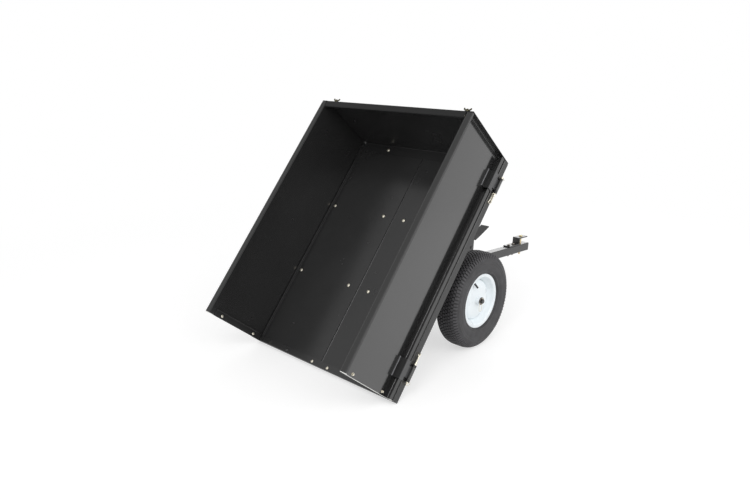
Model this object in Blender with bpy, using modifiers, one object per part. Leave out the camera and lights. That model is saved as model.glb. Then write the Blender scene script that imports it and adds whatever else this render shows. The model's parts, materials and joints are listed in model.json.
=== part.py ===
"""Garden tractor trailer with drop sides, shown tipped back with its tailgate taken off.

Metres. X points forward along the drawbar, Y to the left, Z up. The origin lies on the ground, at the
middle of the object's box. The tub's own frame starts at its lower rear edge: x along the floor, y from the
middle, z up from the lower edge. The drawbar's own frame starts at the axle: x along the drawbar, z square to it.
"""
import math

import bmesh
import bpy
from mathutils import Matrix, Vector

# Clearances
GAP = 0.0003
HOLE_PLAY = 0.0004
SIDES = {"right": -1, "left": 1}

# Tub
TUB_LENGTH = 1.015
TUB_WIDTH = 0.774
TUB_HEIGHT = 0.336
SHEET = 0.0015
BEND = 0.002
FLOOR_TOP = 0.0226
CURB_TOP = 0.030
CURB_WIDTH = 0.0275
PAN_DEPTH = 0.0255
RIM_LIP = 0.010
LEDGE_GAP = 0.006
LEDGE_LIP = 0.0205
FRONT_TURN = 0.0095
CORNER_CUT = 0.0026
RELIEF = 0.0025
RELIEF_DEPTH = 0.004
FRONT_FLANGE = 0.026
FRONT_FLANGE_LIP = 0.008
FRONT_FOOT = 0.043
INNER_MARGIN = 0.004

# Clamp tabs at the top front corners
TAB_REACH = 0.064
TAB_HALF = 0.017
CLAMP_FROM_SIDE = 0.050
CLAMP_BELOW_RIM = 0.026
CLAMP_BOLT_RADIUS = 0.003
SLOT_WIDTH = 0.009
WING_SPAN = 0.034
WING_NUT_SLACK = 0.014
WING_NUT_BOSS = 0.009

# Tailgate guides and the sill
GUIDE_WIDTH = 0.028
GUIDE_LIP = 0.012
GUIDE_TOP = 0.310
SILL_SHEET = 0.002
SILL_WIDTH = 0.028

# Floor bolts and cross members
BEAM_FROM_REAR = {"rear": 0.350, "front": 0.678}
BEAM_SHEET = 0.0025
BEAM_DEPTH = 0.040
BEAM_FLANGE = 0.038
BEAM_END_PLAY = 0.030
FOOT_BOLT_FROM_FRONT = 0.024
FOOT_BOLT_FROM_MIDDLE = 0.205
BOLT_RADIUS = 0.004
BOLT_HEAD_RADIUS = 0.008
BOLT_HEAD_HEIGHT = 0.0045
NUT_RADIUS = 0.0075
NUT_HEIGHT = 0.0065

# Side hinges
HINGE_FROM_ENDS = {"rear": 0.116, "front": 0.110}
HINGE_OUTSIDE = 0.0085
HINGE_HEIGHT = 0.011
KNUCKLE_RADIUS = 0.007
HINGE_PIN_RADIUS = 0.004
STRAP_SHEET = 0.003
STRAP_LENGTH = 0.075
STRAP_FLANGE = 0.0165
BRACKET_INSET = 0.030
NECK_LENGTH = 0.043
EAR_LENGTH = 0.0105
PIN_HEAD = 0.003
PIN_TAIL = 0.010
CLIP_WIRE = 0.0011

# Axle and tip
AXLE_FROM_REAR = 0.543
AXLE_DROP = 0.332
TYRE_RADIUS = 0.205
TIP_RANGE = math.radians(53.5)
AXLE_RADIUS = 0.0095
AXLE_HALF = 0.3385
AXLE_TUBE_RADIUS = 0.0127
LEG_FROM_MIDDLE = 0.187
LEG_SHEET = 0.005
LEG_TOP_FROM_REAR = (0.335, 0.712)
LEG_TOE_RADIUS = 0.032
LEG_FLANGE = 0.036
BUSH_WALL = 0.0025
BUSH_FLANGE_RADIUS = 0.018
BUSH_FLANGE = 0.003
STOP_BAR_RADIUS = 0.008
STOP_BAR_BEHIND = 0.055

# Drawbar, its clamp and the hitch
DRAWBAR_SIZE = 0.042
DRAWBAR_WALL = 0.003
DRAWBAR_ROUND = 0.004
DRAWBAR_REAR = 0.075
DRAWBAR_REACH = 0.925
JAW_SHEET = 0.006
JAW_WIDTH = 0.040
JAW_REAR = 0.730
JAW_STEP = 0.827
JAW_FRONT = 0.907
JAW_GAP = 0.033
JAW_BOLT_FROM_REAR = (0.022, 0.064)
HITCH_PIN_RADIUS = 0.006
HITCH_PIN_FROM_STEP = 0.041
HITCH_PIN_BELOW = 0.014

# Latch post, lever and striker
POST_REAR = 0.316
POST_FRONT = 0.376
POST_SHEET = 0.004
POST_TOP = 0.300
POST_WEB_TOP = 0.250
POST_OVERLAP = 0.036
LEVER_THICKNESS = 0.008
LEVER_PIVOT = (0.356, 0.115)
LEVER_BOSS_RADIUS = 0.013
LEVER_BOLT_RADIUS = 0.005
LEVER_RANGE = math.radians(14.0)
STRIKER_AHEAD = 0.348
STRIKER_HEIGHT = 0.286
STRIKER_RADIUS = 0.004
STRIKER_PLATE = 0.003
STRIKER_PLATE_LENGTH = 0.040
STRIKER_PLAY = 0.0012
HOOK_PLAY = 0.0015
HOOK_WIDTH = 0.016
HOOK_NOSE = 0.008
HOOK_NOSE_HEIGHT = 0.012
PEDAL_PLATE = 0.005
PEDAL_WIDTH = 0.045
PEDAL_BENDS = ((0.394, 0.1445), (0.431, 0.160), (0.503, 0.195))
RAIL_SHEET = 0.002
RAIL_WIDTH = 0.057
RAIL_DEPTH = 0.026
RAIL_ENDS = (0.700, 0.990)

# Wheels
WHEEL_FROM_MIDDLE = 0.2865
TYRE_WIDTH = 0.106
RIM_HALF = 0.0385
RIM_SHEET = 0.002
RIM_FLANGE_RADIUS = 0.1155
BEAD_RADIUS = 0.1005
WELL_RADIUS = 0.088
WELL_HALF = 0.010
WELL_SLOPE = 0.0155
DISC_FACE = 0.0235
DISC_SHOULDER = 0.0095
HUB_RADIUS = 0.0175
HUB_BORE = 0.0135
HUB_LENGTH = 0.085
HUB_BUSH_DEPTH = 0.014
HUB_BUSH_FLANGE = 0.0015
WASHER = 0.002
WASHER_RADIUS = 0.016
VALVE_ANGLE = math.radians(21.0)
VALVE_UP = 0.6
VALVE_STEM_RADIUS = 0.0042
VALVE_LENGTH = 0.033
AXLE_CLIP_RING = 0.008
ROUND_STEPS = 28
SMALL_STEPS = 16
BUSH_STEPS = 20

# Places worked out from the sizes above
HALF_WIDTH = TUB_WIDTH / 2
HALF_SHEET = SHEET / 2
AXLE_REACH = math.hypot(AXLE_FROM_REAR, AXLE_DROP)
TIP = math.atan2(AXLE_DROP, AXLE_FROM_REAR) + math.asin(TYRE_RADIUS / AXLE_REACH)
AXLE_X = AXLE_FROM_REAR * math.cos(TIP) + AXLE_DROP * math.sin(TIP)
SLOPE = TIP_RANGE - TIP
DRAWBAR_LOW = AXLE_TUBE_RADIUS + GAP
DRAWBAR_HIGH = DRAWBAR_LOW + DRAWBAR_SIZE
REAR_X = -TUB_HEIGHT * math.sin(TIP)
FRONT_X = AXLE_X + DRAWBAR_REACH * math.cos(SLOPE) + DRAWBAR_HIGH * math.sin(SLOPE)
MIDDLE_X = (REAR_X + FRONT_X) / 2
FLOOR_UNDER = FLOOR_TOP - SHEET
FLOOR_REAR = SILL_SHEET + BEND
LEDGE_LOW = CURB_TOP + LEDGE_GAP
FRONT_INSIDE = TUB_LENGTH - SHEET - GAP
PANEL_INSIDE = HALF_WIDTH - PAN_DEPTH
FLOOR_FLAT = HALF_WIDTH - CURB_WIDTH - INNER_MARGIN
CLAMP_Y = HALF_WIDTH - CLAMP_FROM_SIDE
BEAM_TOP = FLOOR_UNDER - GAP
BEAM_LOW = BEAM_TOP - BEAM_DEPTH
LEG_TOP = BEAM_LOW - GAP
BUSH_SEAT = LEG_FROM_MIDDLE - LEG_SHEET / 2 - GAP
HINGE_X = {"rear": HINGE_FROM_ENDS["rear"], "front": TUB_LENGTH - HINGE_FROM_ENDS["front"]}
STRAP_SEAT = LEDGE_LOW + LEDGE_LIP + GAP
CLAMP_HEIGHT = TUB_HEIGHT - CLAMP_BELOW_RIM
RAIL_TOP = FLOOR_UNDER - GAP
RAIL_LOW = RAIL_TOP - RAIL_DEPTH
STRIKER_X = AXLE_FROM_REAR + STRIKER_AHEAD
STRIKER_Z = STRIKER_HEIGHT - AXLE_DROP
JAW_LOW = DRAWBAR_HIGH + GAP
HITCH_PIN_X = JAW_STEP + HITCH_PIN_FROM_STEP
POST_HALF = DRAWBAR_SIZE / 2 + GAP + POST_SHEET
WHEEL_END = WHEEL_FROM_MIDDLE + HUB_LENGTH / 2
CLIP_Y = WHEEL_END + WASHER + 2 * GAP + CLIP_WIRE + HOLE_PLAY

for leftover in list(bpy.data.objects):
    bpy.data.objects.remove(leftover, do_unlink=True)

PARTS = bpy.data.collections.new("garden_tractor_trailer")
CUTTERS = bpy.data.collections.new("cutters")
for group in (PARTS, CUTTERS):
    bpy.context.scene.collection.children.link(group)


# Materials
def material(name, colour, roughness, metallic):
    made = bpy.data.materials.new(name)
    made.use_nodes = True
    shader = made.node_tree.nodes["Principled BSDF"]
    shader.inputs["Base Color"].default_value = (*colour, 1.0)
    shader.inputs["Roughness"].default_value = roughness
    shader.inputs["Metallic"].default_value = metallic
    made.diffuse_color = (*colour, 1.0)
    return made


def black_paint(name):
    return material(name, (0.018, 0.018, 0.020), 0.35, 0.0)


def white_paint(name):
    return material(name, (0.82, 0.85, 0.88), 0.30, 0.0)


def rubber(name):
    return material(name, (0.035, 0.035, 0.038), 0.80, 0.0)


def zinc(name):
    return material(name, (0.72, 0.73, 0.74), 0.32, 1.0)


def yellow_zinc(name):
    return material(name, (0.62, 0.50, 0.24), 0.35, 1.0)


def black_plastic(name):
    return material(name, (0.03, 0.03, 0.03), 0.55, 0.0)


# Objects and frames
def empty(name, location, tilt=0.0, parent=None):
    made = bpy.data.objects.new(name, None)
    made.location = location
    made.rotation_euler = (0.0, tilt, 0.0)
    made.parent = parent
    PARTS.objects.link(made)
    return made


def add_object(bm, name, finish, parent, origin=(0.0, 0.0, 0.0)):
    """Turns a bmesh drawn in its parent's frame into an object whose own origin is at the given place."""
    bmesh.ops.translate(bm, verts=bm.verts, vec=-Vector(origin))
    mesh = bpy.data.meshes.new(name)
    bm.to_mesh(mesh)
    bm.free()
    mesh.materials.append(finish(name + "_finish"))
    made = bpy.data.objects.new(name, mesh)
    made.location = origin
    made.parent = parent
    PARTS.objects.link(made)
    return made


def add_cutter(bm, target):
    """A cutter in the same frame as the object that it cuts or joins."""
    bmesh.ops.translate(bm, verts=bm.verts, vec=-target.location)
    mesh = bpy.data.meshes.new(target.name + "_cutter")
    bm.to_mesh(mesh)
    bm.free()
    made = bpy.data.objects.new(mesh.name, mesh)
    made.location = target.location
    made.parent = target.parent
    made.hide_render = True
    made.display_type = "WIRE"
    CUTTERS.objects.link(made)
    return made


def boolean(target, bm, operation):
    modifier = target.modifiers.new(operation.lower(), "BOOLEAN")
    modifier.operation = operation
    modifier.object = add_cutter(bm, target)


def thicken(target, sheet, bend=BEND):
    """Rounds the bends of an open surface and gives it the thickness of the sheet, half to each side."""
    if bend > 0.0:
        rounding = target.modifiers.new("bends", "BEVEL")
        rounding.width = bend
        rounding.segments = 2
        rounding.limit_method = "ANGLE"
        rounding.angle_limit = math.radians(40)
    shell = target.modifiers.new("sheet", "SOLIDIFY")
    shell.thickness = sheet
    shell.offset = 0.0
    shell.use_even_offset = True


def round_edges(target, width):
    rounding = target.modifiers.new("edges", "BEVEL")
    rounding.width = width
    rounding.segments = 1
    rounding.limit_method = "ANGLE"
    rounding.angle_limit = math.radians(50)


def smooth(target, angle=35.0):
    target.data.shade_smooth()
    target.data.set_sharp_from_angle(angle=math.radians(angle))


# Solids drawn into a bmesh
def add_box(bm, x, y, z):
    size = Vector((x[1] - x[0], y[1] - y[0], z[1] - z[0]))
    middle = Vector((sum(x) / 2, sum(y) / 2, sum(z) / 2))
    scale = Matrix.Diagonal((abs(size.x), abs(size.y), abs(size.z), 1.0))
    bmesh.ops.create_cube(bm, size=1.0, matrix=Matrix.Translation(middle) @ scale)


def add_rod(bm, start, end, radius, steps=SMALL_STEPS):
    start = Vector(start)
    end = Vector(end)
    along = end - start
    turn = Vector((0.0, 0.0, 1.0)).rotation_difference(along).to_matrix().to_4x4()
    bmesh.ops.create_cone(bm, cap_ends=True, segments=steps, radius1=radius, radius2=radius,
                          depth=along.length, matrix=Matrix.Translation((start + end) / 2) @ turn)


def absorb(bm, part, place, axis):
    """Adds a part drawn about its own Z to a bmesh, with that Z laid along an axis at a place."""
    turn = Vector((0.0, 0.0, 1.0)).rotation_difference(Vector(axis)).to_matrix().to_4x4()
    part.transform(Matrix.Translation(place) @ turn)
    mesh = bpy.data.meshes.new("part")
    part.to_mesh(mesh)
    part.free()
    bm.from_mesh(mesh)
    bpy.data.meshes.remove(mesh)


def add_spun(bm, profile, place, axis, steps=SMALL_STEPS, closed=False):
    """Spins (radius, height) points about an axis that starts at a place."""
    part = bmesh.new()
    points = [part.verts.new((radius, 0.0, height)) for radius, height in profile]
    ends = points[1:] + points[:1] if closed else points[1:]
    for first, second in zip(points, ends):
        part.edges.new((first, second))
    bmesh.ops.spin(part, geom=part.verts[:] + part.edges[:], cent=(0, 0, 0), axis=(0, 0, 1), dvec=(0, 0, 0),
                   angle=2 * math.pi, steps=steps, use_merge=True)
    bmesh.ops.remove_doubles(part, verts=part.verts, dist=1e-6)
    bmesh.ops.recalc_face_normals(part, faces=part.faces)
    absorb(bm, part, place, axis)


def add_ring(bm, place, axis, outer, inner, length, steps=SMALL_STEPS):
    """A plain ring that starts at its place and reaches one length along the axis."""
    corners = ((outer, 0.0), (outer, length), (inner, length), (inner, 0.0))
    add_spun(bm, corners, place, axis, steps, closed=True)


def add_wire(bm, points, radius):
    """A round wire bent through the given points, with closed ends."""
    curve = bpy.data.curves.new("wire", "CURVE")
    curve.dimensions = "3D"
    curve.bevel_depth = radius
    curve.bevel_resolution = 1
    curve.use_fill_caps = True
    spline = curve.splines.new("POLY")
    spline.points.add(len(points) - 1)
    for target, point in zip(spline.points, points):
        target.co = (*point, 1.0)
    wire = bpy.data.objects.new("wire", curve)
    CUTTERS.objects.link(wire)
    graph = bpy.context.evaluated_depsgraph_get()
    mesh = bpy.data.meshes.new_from_object(wire.evaluated_get(graph))
    part = bmesh.new()
    part.from_mesh(mesh)
    bmesh.ops.remove_doubles(part, verts=part.verts, dist=1e-6)
    part.to_mesh(mesh)
    part.free()
    bm.from_mesh(mesh)
    bpy.data.objects.remove(wire)
    bpy.data.meshes.remove(mesh)
    bpy.data.curves.remove(curve)


def add_bolt(bm, place, axis, grip, radius=BOLT_RADIUS, head=BOLT_HEAD_RADIUS, head_height=BOLT_HEAD_HEIGHT,
             nut=NUT_RADIUS, nut_height=NUT_HEIGHT):
    """A round-headed bolt with its nut run up. The axis points out of the head, whose seat is at the place;
    the nut's seat is one grip below it."""
    profile = ((0.0, head_height), (head * 0.55, head_height * 0.85), (head * 0.9, head_height * 0.4),
               (head, 0.0), (radius, 0.0), (radius, -grip), (nut, -grip), (nut, -grip - nut_height),
               (radius, -grip - nut_height), (radius, -grip - nut_height - radius / 2),
               (0.0, -grip - nut_height - radius / 2))
    add_spun(bm, profile, place, axis, steps=12)


def extrude_outline(bm, corners, reach):
    """A solid swept from a flat outline, whose corners are given in order round it."""
    face = bm.faces.new([bm.verts.new(corner) for corner in corners])
    grown = bmesh.ops.extrude_face_region(bm, geom=[face])
    moved = [item for item in grown["geom"] if isinstance(item, bmesh.types.BMVert)]
    bmesh.ops.translate(bm, verts=moved, vec=reach)
    bmesh.ops.recalc_face_normals(bm, faces=bm.faces)


def add_prism(bm, outline, y):
    """A plate whose outline is given as (x, z) points, between two values of y."""
    extrude_outline(bm, [(x, y[0], z) for x, z in outline], (0.0, y[1] - y[0], 0.0))


# Folded sheet, drawn on the middle of its thickness
def sheet_grid(x, y, z):
    """An open rectangle; one of the three ranges is a single value."""
    bm = bmesh.new()
    if not isinstance(z, tuple):
        corners = ((x[0], y[0], z), (x[1], y[0], z), (x[1], y[1], z), (x[0], y[1], z))
    elif not isinstance(y, tuple):
        corners = ((x[0], y, z[0]), (x[1], y, z[0]), (x[1], y, z[1]), (x[0], y, z[1]))
    else:
        corners = ((x, y[0], z[0]), (x, y[1], z[0]), (x, y[1], z[1]), (x, y[0], z[1]))
    bm.faces.new([bm.verts.new(corner) for corner in corners])
    return bm


def split(bm, axis, value):
    """Cuts every face along a plane square to an axis, so that a fold can stop there."""
    normal = Vector((0.0, 0.0, 0.0))
    normal[axis] = 1.0
    bmesh.ops.bisect_plane(bm, geom=bm.verts[:] + bm.edges[:] + bm.faces[:], plane_co=normal * value,
                           plane_no=normal)


def within(x, y, z):
    """A test for points inside the given ranges; a single value stands for a plane."""
    ranges = [(min(item), max(item)) if isinstance(item, tuple) else (item, item) for item in (x, y, z)]
    slack = 1e-5
    return lambda point: all(low - slack <= value <= high + slack for value, (low, high) in zip(point, ranges))


def fold(bm, x, y, z, reach):
    """Folds a flange of the given reach from the open edges inside the given ranges."""
    test = within(x, y, z)
    edges = [edge for edge in bm.edges if edge.is_boundary and all(test(vert.co) for vert in edge.verts)]
    grown = bmesh.ops.extrude_edge_only(bm, edges=edges)
    moved = [item for item in grown["geom"] if isinstance(item, bmesh.types.BMVert)]
    bmesh.ops.translate(bm, verts=moved, vec=reach)


def cut_away(bm, x, y, z):
    """Takes out the part of a sheet inside the given ranges."""
    test = within(x, y, z)
    faces = [face for face in bm.faces if test(face.calc_center_median())]
    bmesh.ops.delete(bm, geom=faces, context="FACES")


def rods(places, axis, radius, length, steps=SMALL_STEPS):
    """A rod of the given length across each place."""
    bm = bmesh.new()
    half = Vector(axis).normalized() * length / 2
    for place in places:
        add_rod(bm, Vector(place) - half, Vector(place) + half, radius, steps)
    return bm


def drill(target, places, axis, radius, length=0.02, steps=SMALL_STEPS):
    """Holes with some play round what goes through them."""
    boolean(target, rods(places, axis, radius + HOLE_PLAY, length, steps), "DIFFERENCE")


# Frames
trailer = empty("trailer_origin", (-MIDDLE_X, 0.0, 0.0))
chassis = empty("chassis_frame", (AXLE_X, 0.0, TYRE_RADIUS), SLOPE, trailer)
tub_pivot = empty("tub_pivot", (AXLE_X, 0.0, TYRE_RADIUS), -TIP, trailer)
tub = empty("tub_frame", (-AXLE_FROM_REAR, 0.0, AXLE_DROP), 0.0, tub_pivot)


# Tub floor
def foot_bolt_place(side):
    return (TUB_LENGTH - FOOT_BOLT_FROM_FRONT, side * FOOT_BOLT_FROM_MIDDLE, FLOOR_TOP)


def build_floor(side_name, side):
    """One half of the floor, with a curb along its outer edge and a flange at its front."""
    edge = side * (HALF_WIDTH - HALF_SHEET)
    curb = side * (HALF_WIDTH - CURB_WIDTH)
    flat = side * FLOOR_FLAT
    level = FLOOR_TOP - HALF_SHEET
    curb_level = CURB_TOP - HALF_SHEET
    front = TUB_LENGTH - HALF_SHEET
    rear = SILL_SHEET + GAP
    bm = sheet_grid((rear, front), (side * GAP, curb), level)
    split(bm, 1, flat)
    split(bm, 0, FLOOR_REAR)
    split(bm, 0, front - RELIEF_DEPTH)
    cut_away(bm, (rear, FLOOR_REAR), (side * GAP, flat), level)
    cut_away(bm, (front - RELIEF_DEPTH, front), (flat, curb), level)
    fold(bm, front, (side * GAP, flat), level, (0.0, 0.0, -level))
    reach = (rear, front - RELIEF_DEPTH)
    fold(bm, reach, curb, level, (0.0, 0.0, curb_level - level))
    fold(bm, reach, curb, curb_level, (0.0, edge - curb, 0.0))
    fold(bm, reach, edge, curb_level, (0.0, 0.0, -curb_level))
    made = add_object(bm, "floor_" + side_name, black_paint, tub)
    thicken(made, SHEET)
    drill(made, [foot_bolt_place(side)], (0, 0, 1), BOLT_RADIUS)


def build_sill():
    """An angle over the rear edge of the floor, which ties its halves together."""
    top = FLOOR_TOP + GAP + SILL_SHEET / 2
    middle = SILL_SHEET / 2
    flat = FLOOR_FLAT - RELIEF
    bm = sheet_grid(middle, (-HALF_WIDTH, HALF_WIDTH), (0.0, top))
    for value in (-FLOOR_FLAT, -flat, flat, FLOOR_FLAT):
        split(bm, 1, value)
    split(bm, 2, top - RELIEF_DEPTH)
    for side in (-1, 1):
        cut_away(bm, middle, (side * flat, side * FLOOR_FLAT), (top - RELIEF_DEPTH, top))
    fold(bm, middle, (-flat, flat), top, (SILL_WIDTH - middle, 0.0, 0.0))
    made = add_object(bm, "rear_sill", black_paint, tub)
    thicken(made, SILL_SHEET)


# Front panel, its clamp bolts and wing nuts
def build_front_panel():
    """A web across the front, a flange turned in at the top, a foot on the floor and an ear outside each end
    of it, which closes the end of the curb."""
    web = TUB_LENGTH - HALF_SHEET
    low = FLOOR_TOP + GAP + HALF_SHEET
    high = TUB_HEIGHT - HALF_SHEET
    flange_end = PANEL_INSIDE - INNER_MARGIN
    ear = FLOOR_FLAT + RELIEF
    bm = sheet_grid(web, (-HALF_WIDTH, HALF_WIDTH), (0.0, high))
    for side in (-1, 1):
        for value in (FLOOR_FLAT, ear, flange_end, flange_end + RELIEF):
            split(bm, 1, side * value)
    for value in (low, low + RELIEF_DEPTH, high - RELIEF_DEPTH):
        split(bm, 2, value)
    cut_away(bm, web, (-ear, ear), (0.0, low))
    for side in (-1, 1):
        cut_away(bm, web, (side * FLOOR_FLAT, side * ear), (low, low + RELIEF_DEPTH))
        cut_away(bm, web, (side * flange_end, side * (flange_end + RELIEF)), (high - RELIEF_DEPTH, high))
    across = (-flange_end, flange_end)
    fold(bm, web, across, high, (-FRONT_FLANGE, 0.0, 0.0))
    fold(bm, web - FRONT_FLANGE, across, high, (0.0, 0.0, -FRONT_FLANGE_LIP))
    fold(bm, web, (-FLOOR_FLAT, FLOOR_FLAT), low, (-FRONT_FOOT, 0.0, 0.0))
    made = add_object(bm, "front_panel", black_paint, tub)
    thicken(made, SHEET)
    drill(made, [foot_bolt_place(side) for side in (-1, 1)], (0, 0, 1), BOLT_RADIUS)
    drill(made, [(web, side * CLAMP_Y, CLAMP_HEIGHT) for side in (-1, 1)], (1, 0, 0), CLAMP_BOLT_RADIUS)


def build_front_bolts(side_name, side):
    """A bolt through the foot and the floor, and a clamp bolt with its head behind the side's slotted tab."""
    bm = bmesh.new()
    x, y, z = foot_bolt_place(side)
    add_bolt(bm, (x, y, z + SHEET + 2 * GAP), (0, 0, 1), 2 * SHEET + 3 * GAP)
    smooth(add_object(bm, "front_bolt_" + side_name, zinc, tub))
    seat = FRONT_INSIDE - SHEET - GAP
    tail = TUB_LENGTH - seat + WING_NUT_SLACK + WING_NUT_BOSS + 0.004
    profile = ((0.0, 0.004), (0.005, 0.003), (0.007, 0.0), (CLAMP_BOLT_RADIUS, 0.0),
               (CLAMP_BOLT_RADIUS, -tail), (0.0, -tail))
    bm = bmesh.new()
    add_spun(bm, profile, (seat, side * CLAMP_Y, CLAMP_HEIGHT), (-1, 0, 0), steps=12)
    smooth(add_object(bm, "clamp_bolt_" + side_name, zinc, tub))


def build_wing_nut(side_name, side):
    """A boss with two ears that lean away from the panel, drawn loosened."""
    seat = TUB_LENGTH + WING_NUT_SLACK
    place = (seat, side * CLAMP_Y, CLAMP_HEIGHT)
    bm = bmesh.new()
    add_rod(bm, place, (seat + WING_NUT_BOSS, place[1], CLAMP_HEIGHT), 0.006)
    made = add_object(bm, "wing_nut_" + side_name, yellow_zinc, tub, place)
    ear_outline = ((0.001, 0.003), (0.0075, 0.003), (0.016, WING_SPAN / 2 - 0.002), (0.014, WING_SPAN / 2),
                   (0.009, WING_SPAN / 2 - 0.001))
    for ear in (-1, 1):
        ears = bmesh.new()
        corners = [(seat + x, place[1] + ear * out, CLAMP_HEIGHT - 0.00125) for x, out in ear_outline]
        extrude_outline(ears, corners, (0.0, 0.0, 0.0025))
        boolean(made, ears, "UNION")
    drill(made, [place], (1, 0, 0), CLAMP_BOLT_RADIUS)
    smooth(made)


# Side panels and what is fixed to them
def hinge_origin(side):
    return (0.0, side * (HALF_WIDTH + HINGE_OUTSIDE), HINGE_HEIGHT)


def build_side_panel(side_name, side):
    """A pan that opens outwards: a web inside, lipped flanges along its top and foot and a short front one."""
    web = side * (PANEL_INSIDE + HALF_SHEET)
    edge = side * (HALF_WIDTH - HALF_SHEET)
    low = LEDGE_LOW + HALF_SHEET
    high = TUB_HEIGHT - HALF_SHEET
    front = FRONT_INSIDE - HALF_SHEET
    along = (0.0, front - CORNER_CUT)
    bm = sheet_grid((0.0, front), web, (low, high))
    split(bm, 0, front - CORNER_CUT)
    for value in (low + CORNER_CUT, high - CORNER_CUT):
        split(bm, 2, value)
    for level, lip in ((low, LEDGE_LIP - HALF_SHEET), (high, HALF_SHEET - RIM_LIP)):
        fold(bm, along, web, level, (0.0, edge - web, 0.0))
        fold(bm, along, edge, level, (0.0, 0.0, lip))
    fold(bm, front, web, (low + CORNER_CUT, high - CORNER_CUT), (0.0, side * FRONT_TURN, 0.0))
    made = add_object(bm, "side_panel_" + side_name, black_paint, tub, hinge_origin(side))
    thicken(made, SHEET)
    tab = bmesh.new()
    depth = HALF_SHEET - GAP / 2
    add_box(tab, (front - depth, front + depth), sorted((web, side * (HALF_WIDTH - TAB_REACH))),
            (CLAMP_HEIGHT - TAB_HALF, CLAMP_HEIGHT + TAB_HALF))
    boolean(made, tab, "UNION")
    boolean(made, clamp_slot(side), "DIFFERENCE")


def clamp_slot(side):
    """The tab's slot, open along the way that the bolt leaves it when the side swings out."""
    across = HALF_WIDTH + HINGE_OUTSIDE - CLAMP_Y
    lean = math.atan2(across, CLAMP_HEIGHT - HINGE_HEIGHT)
    ends = sorted((side * SLOT_WIDTH / 2, -side * 2 * (TAB_REACH - CLAMP_FROM_SIDE)))
    bm = bmesh.new()
    add_box(bm, (-0.006, 0.006), ends, (-SLOT_WIDTH / 2, SLOT_WIDTH / 2))
    bm.transform(Matrix.Rotation(side * lean, 4, "X"))
    bm.transform(Matrix.Translation((FRONT_INSIDE, side * CLAMP_Y, CLAMP_HEIGHT)))
    return bm


def build_guide(side_name, side):
    """The angle inside a side's rear end that the tailgate slides behind."""
    plane = side * (PANEL_INSIDE - GAP - HALF_SHEET)
    far = GUIDE_WIDTH - HALF_SHEET
    rise = (LEDGE_LOW + GAP, GUIDE_TOP)
    bm = sheet_grid((0.0, far), plane, rise)
    fold(bm, far, plane, rise, (0.0, -side * GUIDE_LIP, 0.0))
    made = add_object(bm, "tailgate_guide_" + side_name, black_paint, tub, hinge_origin(side))
    thicken(made, SHEET)


# Side hinges
def strap_faces(side):
    """The two faces of the plates that lie against the outside of the tub."""
    inner = side * (HALF_WIDTH + GAP)
    return tuple(sorted((inner, inner + side * STRAP_SHEET)))


def build_strap(name, side, x):
    """A plate outside the side's lip, bridged to the web at the top, with a neck down to its knuckle."""
    axis_y = side * (HALF_WIDTH + HINGE_OUTSIDE)
    neck_top = LEDGE_LOW + GAP
    half = STRAP_LENGTH / 2
    neck = NECK_LENGTH / 2
    inner = side * (PANEL_INSIDE + SHEET + GAP)
    outer = side * (HALF_WIDTH + GAP + STRAP_SHEET)
    top = STRAP_SEAT + STRAP_SHEET
    outline = ((x - half, neck_top), (x - neck, neck_top), (x - neck, HINGE_HEIGHT), (x + neck, HINGE_HEIGHT),
               (x + neck, neck_top), (x + half, neck_top), (x + half, top), (x - half, top))
    bm = bmesh.new()
    add_prism(bm, outline, strap_faces(side))
    made = add_object(bm, "hinge_strap_" + name, black_paint, tub, (x, axis_y, HINGE_HEIGHT))
    bridge = bmesh.new()
    add_box(bridge, (x - half, x + half), sorted((inner, outer)), (STRAP_SEAT, top))
    boolean(made, bridge, "UNION")
    flange = bmesh.new()
    add_box(flange, (x - half, x + half), sorted((inner, inner + side * STRAP_SHEET)),
            (STRAP_SEAT, STRAP_SEAT + STRAP_FLANGE))
    boolean(made, flange, "UNION")
    knuckle = bmesh.new()
    add_rod(knuckle, (x - neck, axis_y, HINGE_HEIGHT), (x + neck, axis_y, HINGE_HEIGHT), KNUCKLE_RADIUS)
    boolean(made, knuckle, "UNION")
    drill(made, [(x, axis_y, HINGE_HEIGHT)], (1, 0, 0), HINGE_PIN_RADIUS, 0.06)
    smooth(made)


def build_bracket(name, side, x):
    """A plate under the floor's edge, turned up outside it into a knuckle on each side of the strap's."""
    axis_y = side * (HALF_WIDTH + HINGE_OUTSIDE)
    start = NECK_LENGTH / 2 + 2 * GAP
    end = start + EAR_LENGTH
    outer = side * (HALF_WIDTH + GAP + STRAP_SHEET)
    plate = sorted((outer, side * (HALF_WIDTH - BRACKET_INSET)))
    bm = bmesh.new()
    add_box(bm, (x - end, x + end), plate, (-GAP - STRAP_SHEET, -GAP))
    made = add_object(bm, "hinge_bracket_" + name, black_paint, tub, (x, axis_y, HINGE_HEIGHT))
    ears = bmesh.new()
    knuckles = bmesh.new()
    for way in (-1, 1):
        ear = sorted((x + way * start, x + way * end))
        add_box(ears, ear, strap_faces(side), (-GAP - STRAP_SHEET, HINGE_HEIGHT))
        add_rod(knuckles, (ear[0], axis_y, HINGE_HEIGHT), (ear[1], axis_y, HINGE_HEIGHT), KNUCKLE_RADIUS)
    boolean(made, ears, "UNION")
    boolean(made, knuckles, "UNION")
    drill(made, [(x, axis_y, HINGE_HEIGHT)], (1, 0, 0), HINGE_PIN_RADIUS, 0.2)
    smooth(made)


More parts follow.
